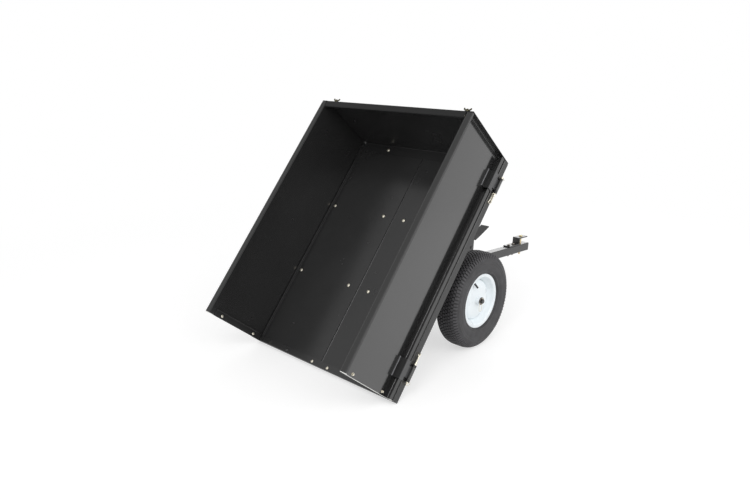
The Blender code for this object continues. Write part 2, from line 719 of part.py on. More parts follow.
def build_hinge_pin(name, side, x, way):
    """A pin through the strap and bracket. Its head is at the tub's nearer end, and a collar stands for the
    clip at its other end, short of its tail."""
    axis_y = side * (HALF_WIDTH + HINGE_OUTSIDE)
    reach = NECK_LENGTH / 2 + EAR_LENGTH + 3 * GAP
    head = HINGE_PIN_RADIUS + 0.0025
    collar = -2 * reach - PIN_HEAD
    profile = ((0.0, PIN_HEAD), (head - 0.001, PIN_HEAD), (head, 0.0), (HINGE_PIN_RADIUS, 0.0),
               (HINGE_PIN_RADIUS, -2 * reach), (head, -2 * reach), (head - 0.001, collar),
               (HINGE_PIN_RADIUS, collar), (HINGE_PIN_RADIUS, collar - PIN_TAIL), (0.0, collar - PIN_TAIL))
    bm = bmesh.new()
    add_spun(bm, profile, (x + way * reach, axis_y, HINGE_HEIGHT), (way, 0, 0))
    smooth(add_object(bm, "hinge_pin_" + name, yellow_zinc, tub, (x, axis_y, HINGE_HEIGHT)))


def add_clip(bm, place, pin_radius, ring):
    """A wire clip: a leg down through a pin and a ring that hangs below it."""
    leg = pin_radius + 0.004
    turns = 16
    points = [Vector((0.0, 0.0, leg))]
    for index in range(turns):
        angle = math.pi / 2 + 2 * math.pi * index / turns
        points.append(Vector((ring * math.cos(angle), 0.0, ring * (math.sin(angle) - 1) - leg)))
    add_wire(bm, [Vector(place) + point for point in points], CLIP_WIRE)


# Beams, legs and stop under the floor
def build_beam(name, x):
    """A channel across the tub, open to the front, under the bolts of both floor halves."""
    half = HALF_WIDTH - SHEET - BEAM_END_PLAY
    middle = BEAM_SHEET / 2
    rear = x - BEAM_FLANGE / 2 + middle
    across = (-half, half)
    bm = sheet_grid(rear, across, (BEAM_LOW + middle, BEAM_TOP - middle))
    fold(bm, rear, across, BEAM_TOP - middle, (BEAM_FLANGE - middle, 0.0, 0.0))
    fold(bm, rear, across, BEAM_LOW + middle, (BEAM_FLANGE - middle, 0.0, 0.0))
    made = add_object(bm, name + "_cross_member", black_paint, tub)
    thicken(made, BEAM_SHEET)


def build_leg(side_name, side):
    """A plate that carries the tub on the axle, with a flange under the cross members."""
    toe = Vector((AXLE_FROM_REAR, -AXLE_DROP))
    outline = [(LEG_TOP_FROM_REAR[1], LEG_TOP), (LEG_TOP_FROM_REAR[0], LEG_TOP)]
    for index in range(9):
        angle = math.pi + math.pi * index / 8
        outline.append(toe + Vector((math.cos(angle), math.sin(angle))) * LEG_TOE_RADIUS)
    y = side * LEG_FROM_MIDDLE
    bm = bmesh.new()
    add_prism(bm, outline, (y - LEG_SHEET / 2, y + LEG_SHEET / 2))
    made = add_object(bm, "axle_leg_" + side_name, black_paint, tub)
    outer = y + side * LEG_SHEET / 2
    flange = bmesh.new()
    add_box(flange, LEG_TOP_FROM_REAR, sorted((outer, outer - side * LEG_FLANGE)), (LEG_TOP - LEG_SHEET, LEG_TOP))
    boolean(made, flange, "UNION")
    drill(made, [(toe.x, y, toe.y)], (0, 1, 0), AXLE_RADIUS + BUSH_WALL + GAP, 0.02, BUSH_STEPS)
    stop = stop_bar_place()
    drill(made, [(stop.x, y, stop.y)], (0, 1, 0), STOP_BAR_RADIUS, 0.02, 24)


def stop_bar_place():
    """The stop bar in the tub's frame: it lands on the drawbar's tail when the tub is fully tipped."""
    landed = Vector((-STOP_BAR_BEHIND, DRAWBAR_HIGH + GAP + STOP_BAR_RADIUS))
    return Matrix.Rotation(-TIP_RANGE, 2) @ landed + Vector((AXLE_FROM_REAR, -AXLE_DROP))


def build_stop_bar():
    place = stop_bar_place()
    half = LEG_FROM_MIDDLE + LEG_SHEET / 2 + 0.003
    bm = bmesh.new()
    add_rod(bm, (place.x, -half, place.y), (place.x, half, place.y), STOP_BAR_RADIUS, 24)
    smooth(add_object(bm, "tip_stop_bar", black_paint, tub))


def build_leg_bush(side_name, side):
    """A flanged bush that lets the leg turn on the axle, long enough to space the wheel off it."""
    inner = AXLE_RADIUS + HOLE_PLAY
    outer = inner + BUSH_WALL
    length = WHEEL_FROM_MIDDLE - HUB_LENGTH / 2 - GAP - BUSH_SEAT
    profile = ((inner, -BUSH_FLANGE), (BUSH_FLANGE_RADIUS, -BUSH_FLANGE), (BUSH_FLANGE_RADIUS, 0.0),
               (outer, 0.0), (outer, length), (inner, length))
    bm = bmesh.new()
    add_spun(bm, profile, (AXLE_FROM_REAR, side * BUSH_SEAT, -AXLE_DROP), (0, side, 0), BUSH_STEPS, closed=True)
    smooth(add_object(bm, "leg_bush_" + side_name, black_plastic, tub))


def build_latch_rail():
    """A channel under the floor, open downwards, that carries the striker."""
    middle = RAIL_SHEET / 2
    half = RAIL_WIDTH / 2 - middle
    bm = sheet_grid(RAIL_ENDS, (-half, half), RAIL_TOP - middle)
    for side in (-1, 1):
        fold(bm, RAIL_ENDS, side * half, RAIL_TOP - middle, (0.0, 0.0, RAIL_LOW - RAIL_TOP + middle))
    thicken(add_object(bm, "latch_rail", black_paint, tub), RAIL_SHEET)


def build_striker():
    """A bar held across the latch by a plate on each side of the rail."""
    bm = bmesh.new()
    for side in (-1, 1):
        inner = side * (RAIL_WIDTH / 2 + GAP)
        add_box(bm, (STRIKER_X - STRIKER_PLATE_LENGTH / 2, STRIKER_X + STRIKER_PLATE_LENGTH / 2),
                sorted((inner, inner + side * STRIKER_PLATE)), (STRIKER_Z - 0.009, RAIL_TOP - 0.002))
    made = add_object(bm, "latch_striker", zinc, tub)
    half = RAIL_WIDTH / 2 + GAP + STRIKER_PLATE + 0.002
    bar = bmesh.new()
    add_rod(bar, (STRIKER_X, -half, STRIKER_Z), (STRIKER_X, half, STRIKER_Z), STRIKER_RADIUS)
    boolean(made, bar, "UNION")
    smooth(made)


# Drawbar and axle
def build_drawbar():
    bm = bmesh.new()
    half = DRAWBAR_SIZE / 2
    add_bar(bm, (-DRAWBAR_REAR, DRAWBAR_REACH), half, (DRAWBAR_LOW, DRAWBAR_HIGH), DRAWBAR_ROUND)
    made = add_object(bm, "drawbar", black_paint, chassis)
    bore = bmesh.new()
    add_bar(bore, (-DRAWBAR_REAR - 0.01, DRAWBAR_REACH + 0.01), half - DRAWBAR_WALL,
            (DRAWBAR_LOW + DRAWBAR_WALL, DRAWBAR_HIGH - DRAWBAR_WALL), DRAWBAR_ROUND - DRAWBAR_WALL)
    boolean(made, bore, "DIFFERENCE")
    middle = (DRAWBAR_LOW + DRAWBAR_HIGH) / 2
    drill(made, [(JAW_REAR + x, 0.0, middle) for x in JAW_BOLT_FROM_REAR], (0, 0, 1), BOLT_RADIUS, 0.06)
    drill(made, [(HITCH_PIN_X, 0.0, middle)], (0, 0, 1), HITCH_PIN_RADIUS, 0.06)
    smooth(made)


def add_bar(bm, x, half, z, rounding):
    """A long square bar with rounded edges."""
    part = bmesh.new()
    add_box(part, x, (-half, half), z)
    edges = [edge for edge in part.edges if abs(edge.verts[0].co.x - edge.verts[1].co.x) > 1e-6]
    bmesh.ops.bevel(part, geom=edges, offset=rounding, offset_type="OFFSET", segments=3, profile=0.5,
                    affect="EDGES")
    absorb(bm, part, (0, 0, 0), (0, 0, 1))


def build_axle():
    bm = bmesh.new()
    chamfer = 0.0012
    profile = ((0.0, 0.0), (AXLE_RADIUS - chamfer, 0.0), (AXLE_RADIUS, chamfer),
               (AXLE_RADIUS, 2 * AXLE_HALF - chamfer), (AXLE_RADIUS - chamfer, 2 * AXLE_HALF),
               (0.0, 2 * AXLE_HALF))
    add_spun(bm, profile, (0.0, -AXLE_HALF, 0.0), (0, 1, 0), BUSH_STEPS)
    made = add_object(bm, "axle", black_paint, chassis)
    drill(made, [(0.0, side * CLIP_Y, 0.0) for side in (-1, 1)], (0, 0, 1), CLIP_WIRE, 0.04)
    smooth(made)
    bm = bmesh.new()
    half = BUSH_SEAT - BUSH_FLANGE - GAP
    add_ring(bm, (0.0, -half, 0.0), (0, 1, 0), AXLE_TUBE_RADIUS, AXLE_RADIUS + HOLE_PLAY, 2 * half,
             BUSH_STEPS)
    smooth(add_object(bm, "axle_tube", black_paint, chassis))


def build_axle_end(side_name, side):
    """A washer outside the wheel and the clip through the end of the axle."""
    washer = bmesh.new()
    add_ring(washer, (0.0, side * (WHEEL_END + GAP), 0.0), (0, side, 0), WASHER_RADIUS, AXLE_RADIUS + HOLE_PLAY,
             WASHER, BUSH_STEPS)
    smooth(add_object(washer, "wheel_washer_" + side_name, black_paint, chassis))
    clip = bmesh.new()
    add_clip(clip, (0.0, side * CLIP_Y, 0.0), AXLE_RADIUS, AXLE_CLIP_RING)
    smooth(add_object(clip, "axle_clip_" + side_name, yellow_zinc, chassis))


# Latch on the drawbar
def build_latch_post():
    """Two plates that straddle the drawbar, joined by a web, with slots that catch the striker."""
    low = DRAWBAR_HIGH - POST_OVERLAP
    bm = bmesh.new()
    for side in (-1, 1):
        outer = side * POST_HALF
        add_box(bm, (POST_REAR, POST_FRONT), sorted((outer, outer - side * POST_SHEET)), (low, POST_TOP))
    made = add_object(bm, "latch_post", black_paint, chassis)
    web = bmesh.new()
    inside = POST_HALF - POST_SHEET / 2
    add_box(web, (POST_REAR, POST_REAR + POST_SHEET), (-inside, inside), (JAW_LOW, POST_WEB_TOP))
    boolean(made, web, "UNION")
    slot = bmesh.new()
    half = STRIKER_RADIUS + STRIKER_PLAY
    add_box(slot, (-half, half), (-0.04, 0.04), (0.0, 0.05))
    rise = math.atan2(STRIKER_HEIGHT, STRIKER_AHEAD)
    slot.transform(Matrix.Rotation(-rise, 4, "Y"))
    slot.transform(Matrix.Translation((STRIKER_AHEAD, 0.0, STRIKER_HEIGHT)))
    boolean(made, slot, "DIFFERENCE")
    drill(made, [(STRIKER_AHEAD, 0.0, STRIKER_HEIGHT)], (0, 1, 0), half - HOLE_PLAY, 0.08, 24)
    drill(made, [(LEVER_PIVOT[0], 0.0, LEVER_PIVOT[1])], (0, 1, 0), LEVER_BOLT_RADIUS, 0.08)
    pivot = bmesh.new()
    add_bolt(pivot, (LEVER_PIVOT[0], -POST_HALF - GAP, LEVER_PIVOT[1]), (0, -1, 0), 2 * (POST_HALF + GAP),
             LEVER_BOLT_RADIUS, nut=0.0085)
    smooth(add_object(pivot, "latch_pivot_bolt", black_paint, chassis))


def build_lever():
    """A hook and a foot pedal on one boss, drawn with the pedal pressed and the hook swung clear."""
    pivot = Vector((LEVER_PIVOT[0], 0.0, LEVER_PIVOT[1]))
    half = LEVER_THICKNESS / 2
    boss = POST_HALF - POST_SHEET - HOLE_PLAY
    bm = bmesh.new()
    add_rod(bm, pivot - Vector((0, boss, 0)), pivot + Vector((0, boss, 0)), LEVER_BOSS_RADIUS, 24)
    made = add_object(bm, "latch_lever", black_paint, chassis, pivot)
    rear = STRIKER_AHEAD + STRIKER_RADIUS + HOOK_PLAY
    front = rear + HOOK_WIDTH
    under = STRIKER_HEIGHT + STRIKER_RADIUS + HOOK_PLAY
    tip = STRIKER_AHEAD - HOOK_NOSE
    hook = bmesh.new()
    add_prism(hook, ((rear, pivot.z), (rear, under), (tip, under), (tip, under + HOOK_NOSE_HEIGHT / 3),
                     (rear, under + HOOK_NOSE_HEIGHT), (front, under + HOOK_NOSE_HEIGHT), (front, pivot.z)),
              (-half, half))
    hook.transform(Matrix.Translation(pivot) @ Matrix.Rotation(LEVER_RANGE, 4, "Y") @ Matrix.Translation(-pivot))
    boolean(made, hook, "UNION")
    (x1, z1), (x2, z2), (x3, z3) = PEDAL_BENDS
    pad = bmesh.new()
    add_prism(pad, ((x1, z1), (x2, z2), (x3, z3), (x3, z3 + PEDAL_PLATE), (x2, z2 + PEDAL_PLATE),
                    (x1, z1 + PEDAL_PLATE)), (-PEDAL_WIDTH / 2, PEDAL_WIDTH / 2))
    boolean(made, pad, "UNION")
    arm = bmesh.new()
    drop = LEVER_BOSS_RADIUS
    add_prism(arm, ((pivot.x, pivot.z + drop), (x1, z1 + PEDAL_PLATE / 2), (x2, z2 + PEDAL_PLATE / 2),
                    (x2, z2 - PEDAL_PLATE), (pivot.x + drop, pivot.z)), (-half, half))
    boolean(made, arm, "UNION")
    drill(made, [pivot], (0, 1, 0), LEVER_BOLT_RADIUS, 0.08, 24)
    smooth(made)


# Hitch
def build_hitch():
    """A stepped plate on the front of the drawbar that makes a jaw with it, closed by a drop pin."""
    top = JAW_LOW + JAW_GAP
    outline = ((JAW_REAR, JAW_LOW), (JAW_STEP, JAW_LOW), (JAW_STEP, top), (JAW_FRONT, top),
               (JAW_FRONT, top + JAW_SHEET), (JAW_STEP - JAW_SHEET, top + JAW_SHEET),
               (JAW_STEP - JAW_SHEET, JAW_LOW + JAW_SHEET), (JAW_REAR, JAW_LOW + JAW_SHEET))
    bm = bmesh.new()
    add_prism(bm, outline, (-JAW_WIDTH / 2, JAW_WIDTH / 2))
    made = add_object(bm, "hitch_jaw", black_paint, chassis)
    round_edges(made, 0.0008)
    drill(made, [(JAW_REAR + x, 0.0, JAW_LOW) for x in JAW_BOLT_FROM_REAR], (0, 0, 1), BOLT_RADIUS, 0.03)
    drill(made, [(HITCH_PIN_X, 0.0, top)], (0, 0, 1), HITCH_PIN_RADIUS, 0.03)
    grip = JAW_SHEET + DRAWBAR_SIZE + 3 * GAP
    for name, x in zip(("rear", "front"), JAW_BOLT_FROM_REAR):
        bolt = bmesh.new()
        add_bolt(bolt, (JAW_REAR + x, 0.0, JAW_LOW + JAW_SHEET + GAP), (0, 0, 1), grip)
        smooth(add_object(bolt, "jaw_bolt_" + name, zinc, chassis))
    seat = top + JAW_SHEET + GAP
    length = seat - DRAWBAR_LOW + HITCH_PIN_BELOW
    profile = ((0.0, 0.005), (0.0085, 0.004), (0.0105, 0.0), (HITCH_PIN_RADIUS, 0.0),
               (HITCH_PIN_RADIUS, -length), (HITCH_PIN_RADIUS / 2, -length - 0.004), (0.0, -length - 0.004))
    pin = bmesh.new()
    add_spun(pin, profile, (HITCH_PIN_X, 0.0, seat), (0, 0, 1), 24)
    smooth(add_object(pin, "hitch_pin", yellow_zinc, chassis, (HITCH_PIN_X, 0.0, seat)))


# Wheels
def tyre_profile():
    """The tyre's section as (radius, offset) points, round the outside and back along the inside."""
    half = TYRE_WIDTH / 2
    tread = TYRE_RADIUS
    seat = BEAD_RADIUS + RIM_SHEET / 2 + GAP
    bead = RIM_HALF - RIM_SHEET / 2 - GAP
    outside = ((seat, bead - 0.017), (seat, bead - 0.004), (seat + 0.0035, bead), (RIM_FLANGE_RADIUS + GAP, bead),
               (RIM_FLANGE_RADIUS + 0.008, half - 0.009), (tread - 0.060, half - 0.002), (tread - 0.042, half),
               (tread - 0.022, half - 0.004), (tread - 0.008, half - 0.014), (tread, half - 0.032))
    inside = ((tread - 0.012, half - 0.028), (tread - 0.026, half - 0.010), (tread - 0.050, half - 0.007),
              (RIM_FLANGE_RADIUS + 0.004, half - 0.018), (seat + 0.005, bead - 0.014))
    ring = list(outside) + [(radius, -offset) for radius, offset in reversed(outside)]
    ring += [(radius, -offset) for radius, offset in reversed(inside)] + list(inside)
    return ring


def rim_profile():
    seat = RIM_HALF - 0.004
    half = ((RIM_FLANGE_RADIUS, RIM_HALF), (BEAD_RADIUS + 0.003, RIM_HALF), (BEAD_RADIUS, seat),
            (BEAD_RADIUS - 0.002, WELL_HALF + WELL_SLOPE), (WELL_RADIUS, WELL_HALF))
    return list(half) + [(radius, -offset) for radius, offset in reversed(half)]


def valve_axis(side):
    """Where the valve leaves the slope of the rim's well, and the way that it points."""
    outward = Vector((-math.sin(VALVE_ANGLE), 0.0, math.cos(VALVE_ANGLE)))
    along = Vector((0.0, side, 0.0))
    rise = BEAD_RADIUS - 0.002 - WELL_RADIUS
    place = outward * (WELL_RADIUS + rise * VALVE_UP) + along * (WELL_HALF + WELL_SLOPE * VALVE_UP)
    return place, (along * rise - outward * WELL_SLOPE).normalized()


def build_wheel(side_name, side):
    frame = empty("wheel_frame_" + side_name, (AXLE_X, side * WHEEL_FROM_MIDDLE, TYRE_RADIUS), 0.0, trailer)
    axis = (0, side, 0)
    centre = Vector((0.0, 0.0, 0.0))
    bm = bmesh.new()
    add_spun(bm, tyre_profile(), centre, axis, ROUND_STEPS, closed=True)
    smooth(add_object(bm, "tyre_" + side_name, rubber, frame))
    place, aim = valve_axis(side)
    bm = bmesh.new()
    add_spun(bm, rim_profile(), centre, axis, ROUND_STEPS)
    rim = add_object(bm, "rim_" + side_name, white_paint, frame)
    thicken(rim, RIM_SHEET, 0.0)
    boolean(rim, rods([place], aim, VALVE_STEM_RADIUS + HOLE_PLAY, 0.02), "DIFFERENCE")
    boolean(rim, disc_solid(axis), "UNION")
    hub = bmesh.new()
    half = HUB_LENGTH / 2 - HUB_BUSH_FLANGE - GAP
    add_rod(hub, (0.0, -half, 0.0), (0.0, half, 0.0), HUB_RADIUS, BUSH_STEPS)
    boolean(rim, hub, "UNION")
    boolean(rim, rods([centre], axis, HUB_BORE, HUB_LENGTH, BUSH_STEPS), "DIFFERENCE")
    smooth(rim)
    build_hub_bushes(side_name, frame)
    valve = bmesh.new()
    add_spun(valve, ((0.0, -0.004), (VALVE_STEM_RADIUS + 0.0013, -0.004), (VALVE_STEM_RADIUS + 0.0013, -0.0015),
                     (VALVE_STEM_RADIUS, -0.0015), (VALVE_STEM_RADIUS, VALVE_LENGTH - 0.008),
                     (VALVE_STEM_RADIUS - 0.0008, VALVE_LENGTH - 0.007), (VALVE_STEM_RADIUS - 0.0008, VALVE_LENGTH),
                     (0.0, VALVE_LENGTH)), place, aim)
    smooth(add_object(valve, "valve_" + side_name, rubber, frame))


def disc_solid(axis):
    """The wheel's domed disc, from inside the hub's wall to inside the wall of the well."""
    half = RIM_SHEET / 2
    seat = WELL_RADIUS
    middle = ((HUB_BORE + 0.001, DISC_FACE), (0.058, DISC_FACE), (0.068, DISC_FACE - DISC_SHOULDER * 0.2),
              (0.076, DISC_FACE - DISC_SHOULDER * 0.6), (seat - 0.006, DISC_FACE - DISC_SHOULDER),
              (seat, WELL_HALF - 0.006))
    section = [(radius, offset + half) for radius, offset in middle]
    section += [(radius, offset - half) for radius, offset in reversed(middle)]
    bm = bmesh.new()
    add_spun(bm, section, (0.0, 0.0, 0.0), axis, ROUND_STEPS, closed=True)
    return bm


def build_hub_bushes(side_name, frame):
    """A flanged plastic bush in each end of the hub."""
    inner = AXLE_RADIUS + HOLE_PLAY
    outer = HUB_BORE - GAP
    flange = HUB_RADIUS - 0.001
    end = HUB_LENGTH / 2
    profile = ((inner, end), (flange, end), (flange, end - HUB_BUSH_FLANGE), (outer, end - HUB_BUSH_FLANGE),
               (outer, end - HUB_BUSH_DEPTH), (inner, end - HUB_BUSH_DEPTH))
    ways = {"outer": SIDES[side_name], "inner": -SIDES[side_name]}
    for name, way in ways.items():
        bm = bmesh.new()
        add_spun(bm, profile, (0.0, 0.0, 0.0), (0, way, 0), BUSH_STEPS, closed=True)
        smooth(add_object(bm, "hub_bush_" + name + "_" + side_name, black_plastic, frame))


# Build
for side_name, side in SIDES.items():
    build_floor(side_name, side)
    build_side_panel(side_name, side)
    build_guide(side_name, side)
    for end_name, x in HINGE_X.items():
        hinge_name = end_name + "_" + side_name
        build_strap(hinge_name, side, x)
        build_bracket(hinge_name, side, x)
        build_hinge_pin(hinge_name, side, x, 1 if end_name == "front" else -1)
    build_front_bolts(side_name, side)
    build_wing_nut(side_name, side)
    build_leg(side_name, side)
    build_leg_bush(side_name, side)
    build_axle_end(side_name, side)
    build_wheel(side_name, side)
for name, x in BEAM_FROM_REAR.items():
    build_beam(name, x)
build_sill()
build_front_panel()
build_stop_bar()
build_latch_rail()
build_striker()
build_drawbar()
build_axle()
build_latch_post()
build_lever()
build_hitch()
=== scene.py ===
"""Looks for the garden tractor trailer: a finish for every part, and finer tyres, rims, clips and bolts."""
import json
import math

import bmesh
import bpy
from mathutils import Matrix, Vector

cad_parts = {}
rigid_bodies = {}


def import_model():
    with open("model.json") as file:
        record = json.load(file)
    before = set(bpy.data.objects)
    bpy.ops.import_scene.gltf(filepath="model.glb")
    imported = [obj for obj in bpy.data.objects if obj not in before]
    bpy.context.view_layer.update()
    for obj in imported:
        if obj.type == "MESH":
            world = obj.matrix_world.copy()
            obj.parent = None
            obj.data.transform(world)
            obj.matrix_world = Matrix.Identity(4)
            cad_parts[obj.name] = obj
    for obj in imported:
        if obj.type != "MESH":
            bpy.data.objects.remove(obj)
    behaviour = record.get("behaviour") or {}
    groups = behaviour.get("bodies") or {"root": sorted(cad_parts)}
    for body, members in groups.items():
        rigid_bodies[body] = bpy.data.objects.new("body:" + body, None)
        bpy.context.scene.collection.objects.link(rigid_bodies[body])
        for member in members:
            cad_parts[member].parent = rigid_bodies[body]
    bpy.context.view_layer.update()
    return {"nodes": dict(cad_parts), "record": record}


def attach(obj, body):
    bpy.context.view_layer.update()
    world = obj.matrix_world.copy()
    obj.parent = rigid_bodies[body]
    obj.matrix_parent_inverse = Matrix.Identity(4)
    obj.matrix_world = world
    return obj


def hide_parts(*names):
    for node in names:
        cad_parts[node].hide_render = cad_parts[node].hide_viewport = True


for leftover in list(bpy.data.objects):
    bpy.data.objects.remove(leftover, do_unlink=True)
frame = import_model()

SIDES = {"right": -1, "left": 1}
ALONG = (1.0, 0.0, 0.0)
BACK = (-1.0, 0.0, 0.0)
ACROSS = (0.0, 1.0, 0.0)
UP = (0.0, 0.0, 1.0)
DOWN = (0.0, 0.0, -1.0)
GAP = 0.0003

# Tub sizes
TUB_LENGTH = 1.015
TUB_HEIGHT = 0.336
HALF_WIDTH = 0.387
SHEET = 0.0015
PAN_DEPTH = 0.0255
FLOOR_TOP = 0.0226
FLOOR_UNDER = FLOOR_TOP - SHEET
SILL_SHEET = 0.002
SILL_TOP = FLOOR_TOP + GAP + SILL_SHEET
PANEL_INSIDE = HALF_WIDTH - PAN_DEPTH
PANEL_OUTSIDE = PANEL_INSIDE + SHEET
BEAM_FROM_REAR = (0.350, 0.678)
BEAM_DEPTH = 0.040
BEAM_SHEET = 0.0025
BEAM_UNDER = FLOOR_UNDER - GAP - BEAM_DEPTH
LEG_SHEET = 0.005
CLAMP_Y = HALF_WIDTH - 0.050
CLAMP_HEIGHT = TUB_HEIGHT - 0.026
CLAMP_X = TUB_LENGTH - 2 * SHEET
WING_NUT_SLACK = 0.014

# Hinges, each with its place along the tub and the way that its pin points
HINGES = {"rear": (0.116, -1), "front": (TUB_LENGTH - 0.110, 1)}
HINGE_Y = HALF_WIDTH + 0.0085
HINGE_HEIGHT = 0.011
HINGE_HALF = 0.0329
HINGE_PIN_RADIUS = 0.004
STRAP_TOP = 0.0733
STRAP_PLATE = HALF_WIDTH + 0.002

# Places of the tub's bolts
FLOOR_BOLTS_ACROSS = (-0.343, -0.055, 0.055, 0.343)
FLOOR_NUT_SEAT = FLOOR_UNDER - 0.0030
SILL_BOLT_FROM_REAR = 0.0125
SILL_BOLTS = {"inner": ("zinc", 0.043), "outer": ("black_steel", 0.195)}
LEG_BOLTS_FROM_REAR = (0.366, 0.694)
LEG_BOLT_Y = 0.170
FOOT_BOLT_FROM_FRONT = 0.024
FOOT_BOLT_Y = 0.205
GUIDE_BOLT_FROM_REAR = 0.013
GUIDE_BOLT_LEVELS = (0.080, 0.270)
GUIDE_FACE = PANEL_INSIDE - 0.0018
BRACKET_BOLT_INSET = 0.020
BRACKET_UNDER = -0.0033

# Wheel and axle sizes
AXLE_FROM_REAR = 0.543
AXLE_DROP = 0.332
AXLE_RADIUS = 0.0095
WHEEL_FROM_MIDDLE = 0.2865
TYRE_RADIUS = 0.205
RIM_HALF = 0.0385
RIM_SHEET = 0.002
RIM_FLANGE = 0.1155
BEAD_RADIUS = 0.1005
WELL_RADIUS = 0.088
WELL_HALF = 0.010
WELL_SLOPE = (0.0105, 0.0155)
DISC_FACE = 0.0235
HUB_RADIUS = 0.0175
HUB_BORE = 0.0135
HUB_HALF = 0.0407
WASHER_SEAT = WHEEL_FROM_MIDDLE + 0.0428
WASHER_RADIUS = 0.016
VALVE_ANGLE = math.radians(21.0)
VALVE_UP = 0.6
CLIP_Y = 0.3331
CLIP_LOOP = 0.008
CLIP_HANG = 0.034

# Tread: its depth, its pitches round the tyre, how far its blocks lean, and rows of blocks from the middle
# outwards, each with its offsets, its blocks' length and its share of a pitch ahead
TREAD_DEPTH = 0.0065
TREAD_PITCHES = 86
TREAD_SKEW = 0.9
TREAD_ROWS = (((-0.0042, 0.0, 0.0042), 0.0094, 0.0), ((0.0074, 0.0116, 0.0158), 0.0092, 0.5),
              ((0.0190, 0.0228, 0.0266), 0.0092, 0.0), ((0.0298, 0.0334, 0.0370), 0.0092, 0.5),
              ((0.0400, 0.0432, 0.0464, 0.0492), 0.0088, 0.0))
TREAD_DROP = ((0.0, 0.0), (0.020, 0.0), (0.032, 0.0022), (0.040, 0.0070), (0.0465, 0.0150),
              (0.051, 0.0235))

# Drawbar and hitch sizes
TIP_RANGE = math.radians(53.5)
DRAWBAR_REACH = 0.925
DRAWBAR_LOW = 0.013
DRAWBAR_SIZE = 0.042
DRAWBAR_HIGH = DRAWBAR_LOW + DRAWBAR_SIZE
JAW_SHEET = 0.006
JAW_SEAT = DRAWBAR_HIGH + GAP + JAW_SHEET
JAW_BOLTS = {"rear": 0.752, "front": 0.794}
HITCH_PIN_X = 0.868
HITCH_PIN_SEAT = 0.0949
POST_BOLTS_AHEAD = (0.330, 0.362)
POST_BOLT_HEIGHT = DRAWBAR_LOW + DRAWBAR_SIZE / 2
POST_HALF = 0.0253

# Bolt heads as radius and height, round ones and hexagons
FLOOR_HEAD = (0.0078, 0.0042)
CLAMP_HEAD = (0.0070, 0.0040)
SMALL_HEAD = (0.0062, 0.0034)
LEG_HEX = (0.0086, 0.0052)
JAW_HEX = (0.0070, 0.0042)
POST_HEX = (0.0075, 0.0052)

# Nuts: the washer's two radii and thickness, the nut's radius, height and bore, where its thread starts, and
# the thread's radius, length and pitch
FLOOR_NUT = ((0.0088, 0.0044, 0.0012), (0.0075, 0.0052, 0.0033), 0.0050, (0.0032, 0.0065, 0.00125))
LEG_NUT = ((0.0095, 0.0050, 0.0014), (0.0086, 0.0062, 0.0038), 0.0070, (0.0037, 0.0060, 0.00125))
JAW_NUT = ((0.0098, 0.0044, 0.0014), (0.0076, 0.0062, 0.0038), 0.0070, (0.0038, 0.0050, 0.00125))
POST_NUT = ((0.0092, 0.0044, 0.0012), (0.0075, 0.0052, 0.0036), 0.0055, (0.0036, 0.0055, 0.00125))
GUIDE_NUT = ((0.0056, 0.0028, 0.0010), (0.0050, 0.0036, 0.0024), 0.0036, (0.0023, 0.0030, 0.0008))

# The sill's nuts, without washers, and the threads that end there and in the wing nuts
SILL_NUT = (0.0064, 0.0050, 0.0028)
SILL_THREAD_START = 0.0045
SILL_THREAD = (0.0027, 0.0050, 0.001)
CLAMP_THREAD = (0.0030, 2 * SHEET + WING_NUT_SLACK + 0.0125, 0.001)

# The frames that the pieces are drawn in, worked out as for the solids: the tub rests on its rear edge and
# the tyres, the drawbar slopes, and the whole is centred along X
TIP = (math.atan2(AXLE_DROP, AXLE_FROM_REAR)
       + math.asin(TYRE_RADIUS / math.hypot(AXLE_FROM_REAR, AXLE_DROP)))
SLOPE = TIP_RANGE - TIP
REAR_TO_AXLE = AXLE_FROM_REAR * math.cos(TIP) + AXLE_DROP * math.sin(TIP)
FRONT_X = REAR_TO_AXLE + DRAWBAR_REACH * math.cos(SLOPE) + DRAWBAR_HIGH * math.sin(SLOPE)
REAR_X = -TUB_HEIGHT * math.sin(TIP)
AXLE = Vector((REAR_TO_AXLE - (REAR_X + FRONT_X) / 2, 0.0, TYRE_RADIUS))
TUB = (Matrix.Translation(AXLE) @ Matrix.Rotation(-TIP, 4, "Y")
       @ Matrix.Translation((-AXLE_FROM_REAR, 0.0, AXLE_DROP)))
BAR = Matrix.Translation(AXLE) @ Matrix.Rotation(SLOPE, 4, "Y")
TUB_ALONG = (math.cos(TIP), 0.0, math.sin(TIP))
TUB_UP = (-math.sin(TIP), 0.0, math.cos(TIP))
TUB_REAR = Vector(TUB_ALONG).dot(TUB.translation)
TUB_BASE = Vector(TUB_UP).dot(TUB.translation)

# Stage
WORLD_LIGHT = 0.86
OVERHEAD_FADE = (0.12, 0.75, 1.0, 0.70)
FLOOR_REACH = 14.0
FLOOR_DROP = 0.0004
FLOOR_LIT = 0.80
FLOOR_SEEN = 0.55
FLOOR_GLOW = 0.575
FLOOR_FADE = (1.4, 3.2, 0.0, 1.0)
CAMERA_PLACE = (-2.2245469716, -1.7191851066, 1.1840183829)
CAMERA_TURN = (1.2816191557, -0.0073047744, -0.8314927796)
CAMERA_LENS = 31.52
CAMERA_SENSOR = 36.0

# Lamps, each with its place, what it points at, its size and its power
LAMPS = {"key": ((-3.2, -1.6, 3.2), (0.0, 0.0, 0.4), 2.0, 44.0),
         "fill": ((-1.6, -3.4, 3.0), (0.0, 0.0, 0.4), 2.4, 26.0),
         "side": ((1.8, -4.0, 1.3), (0.1, 0.0, 0.3), 2.4, 36.0),
         "strip": ((3.10, 1.51, 0.86), (0.57, 0.0, 0.22), 1.4, 6.5)}


# Shader nodes
def rgba(colour):
    """A colour with its alpha, from three numbers or from one grey."""
    return (*colour, 1.0) if isinstance(colour, tuple) else (colour, colour, colour, 1.0)


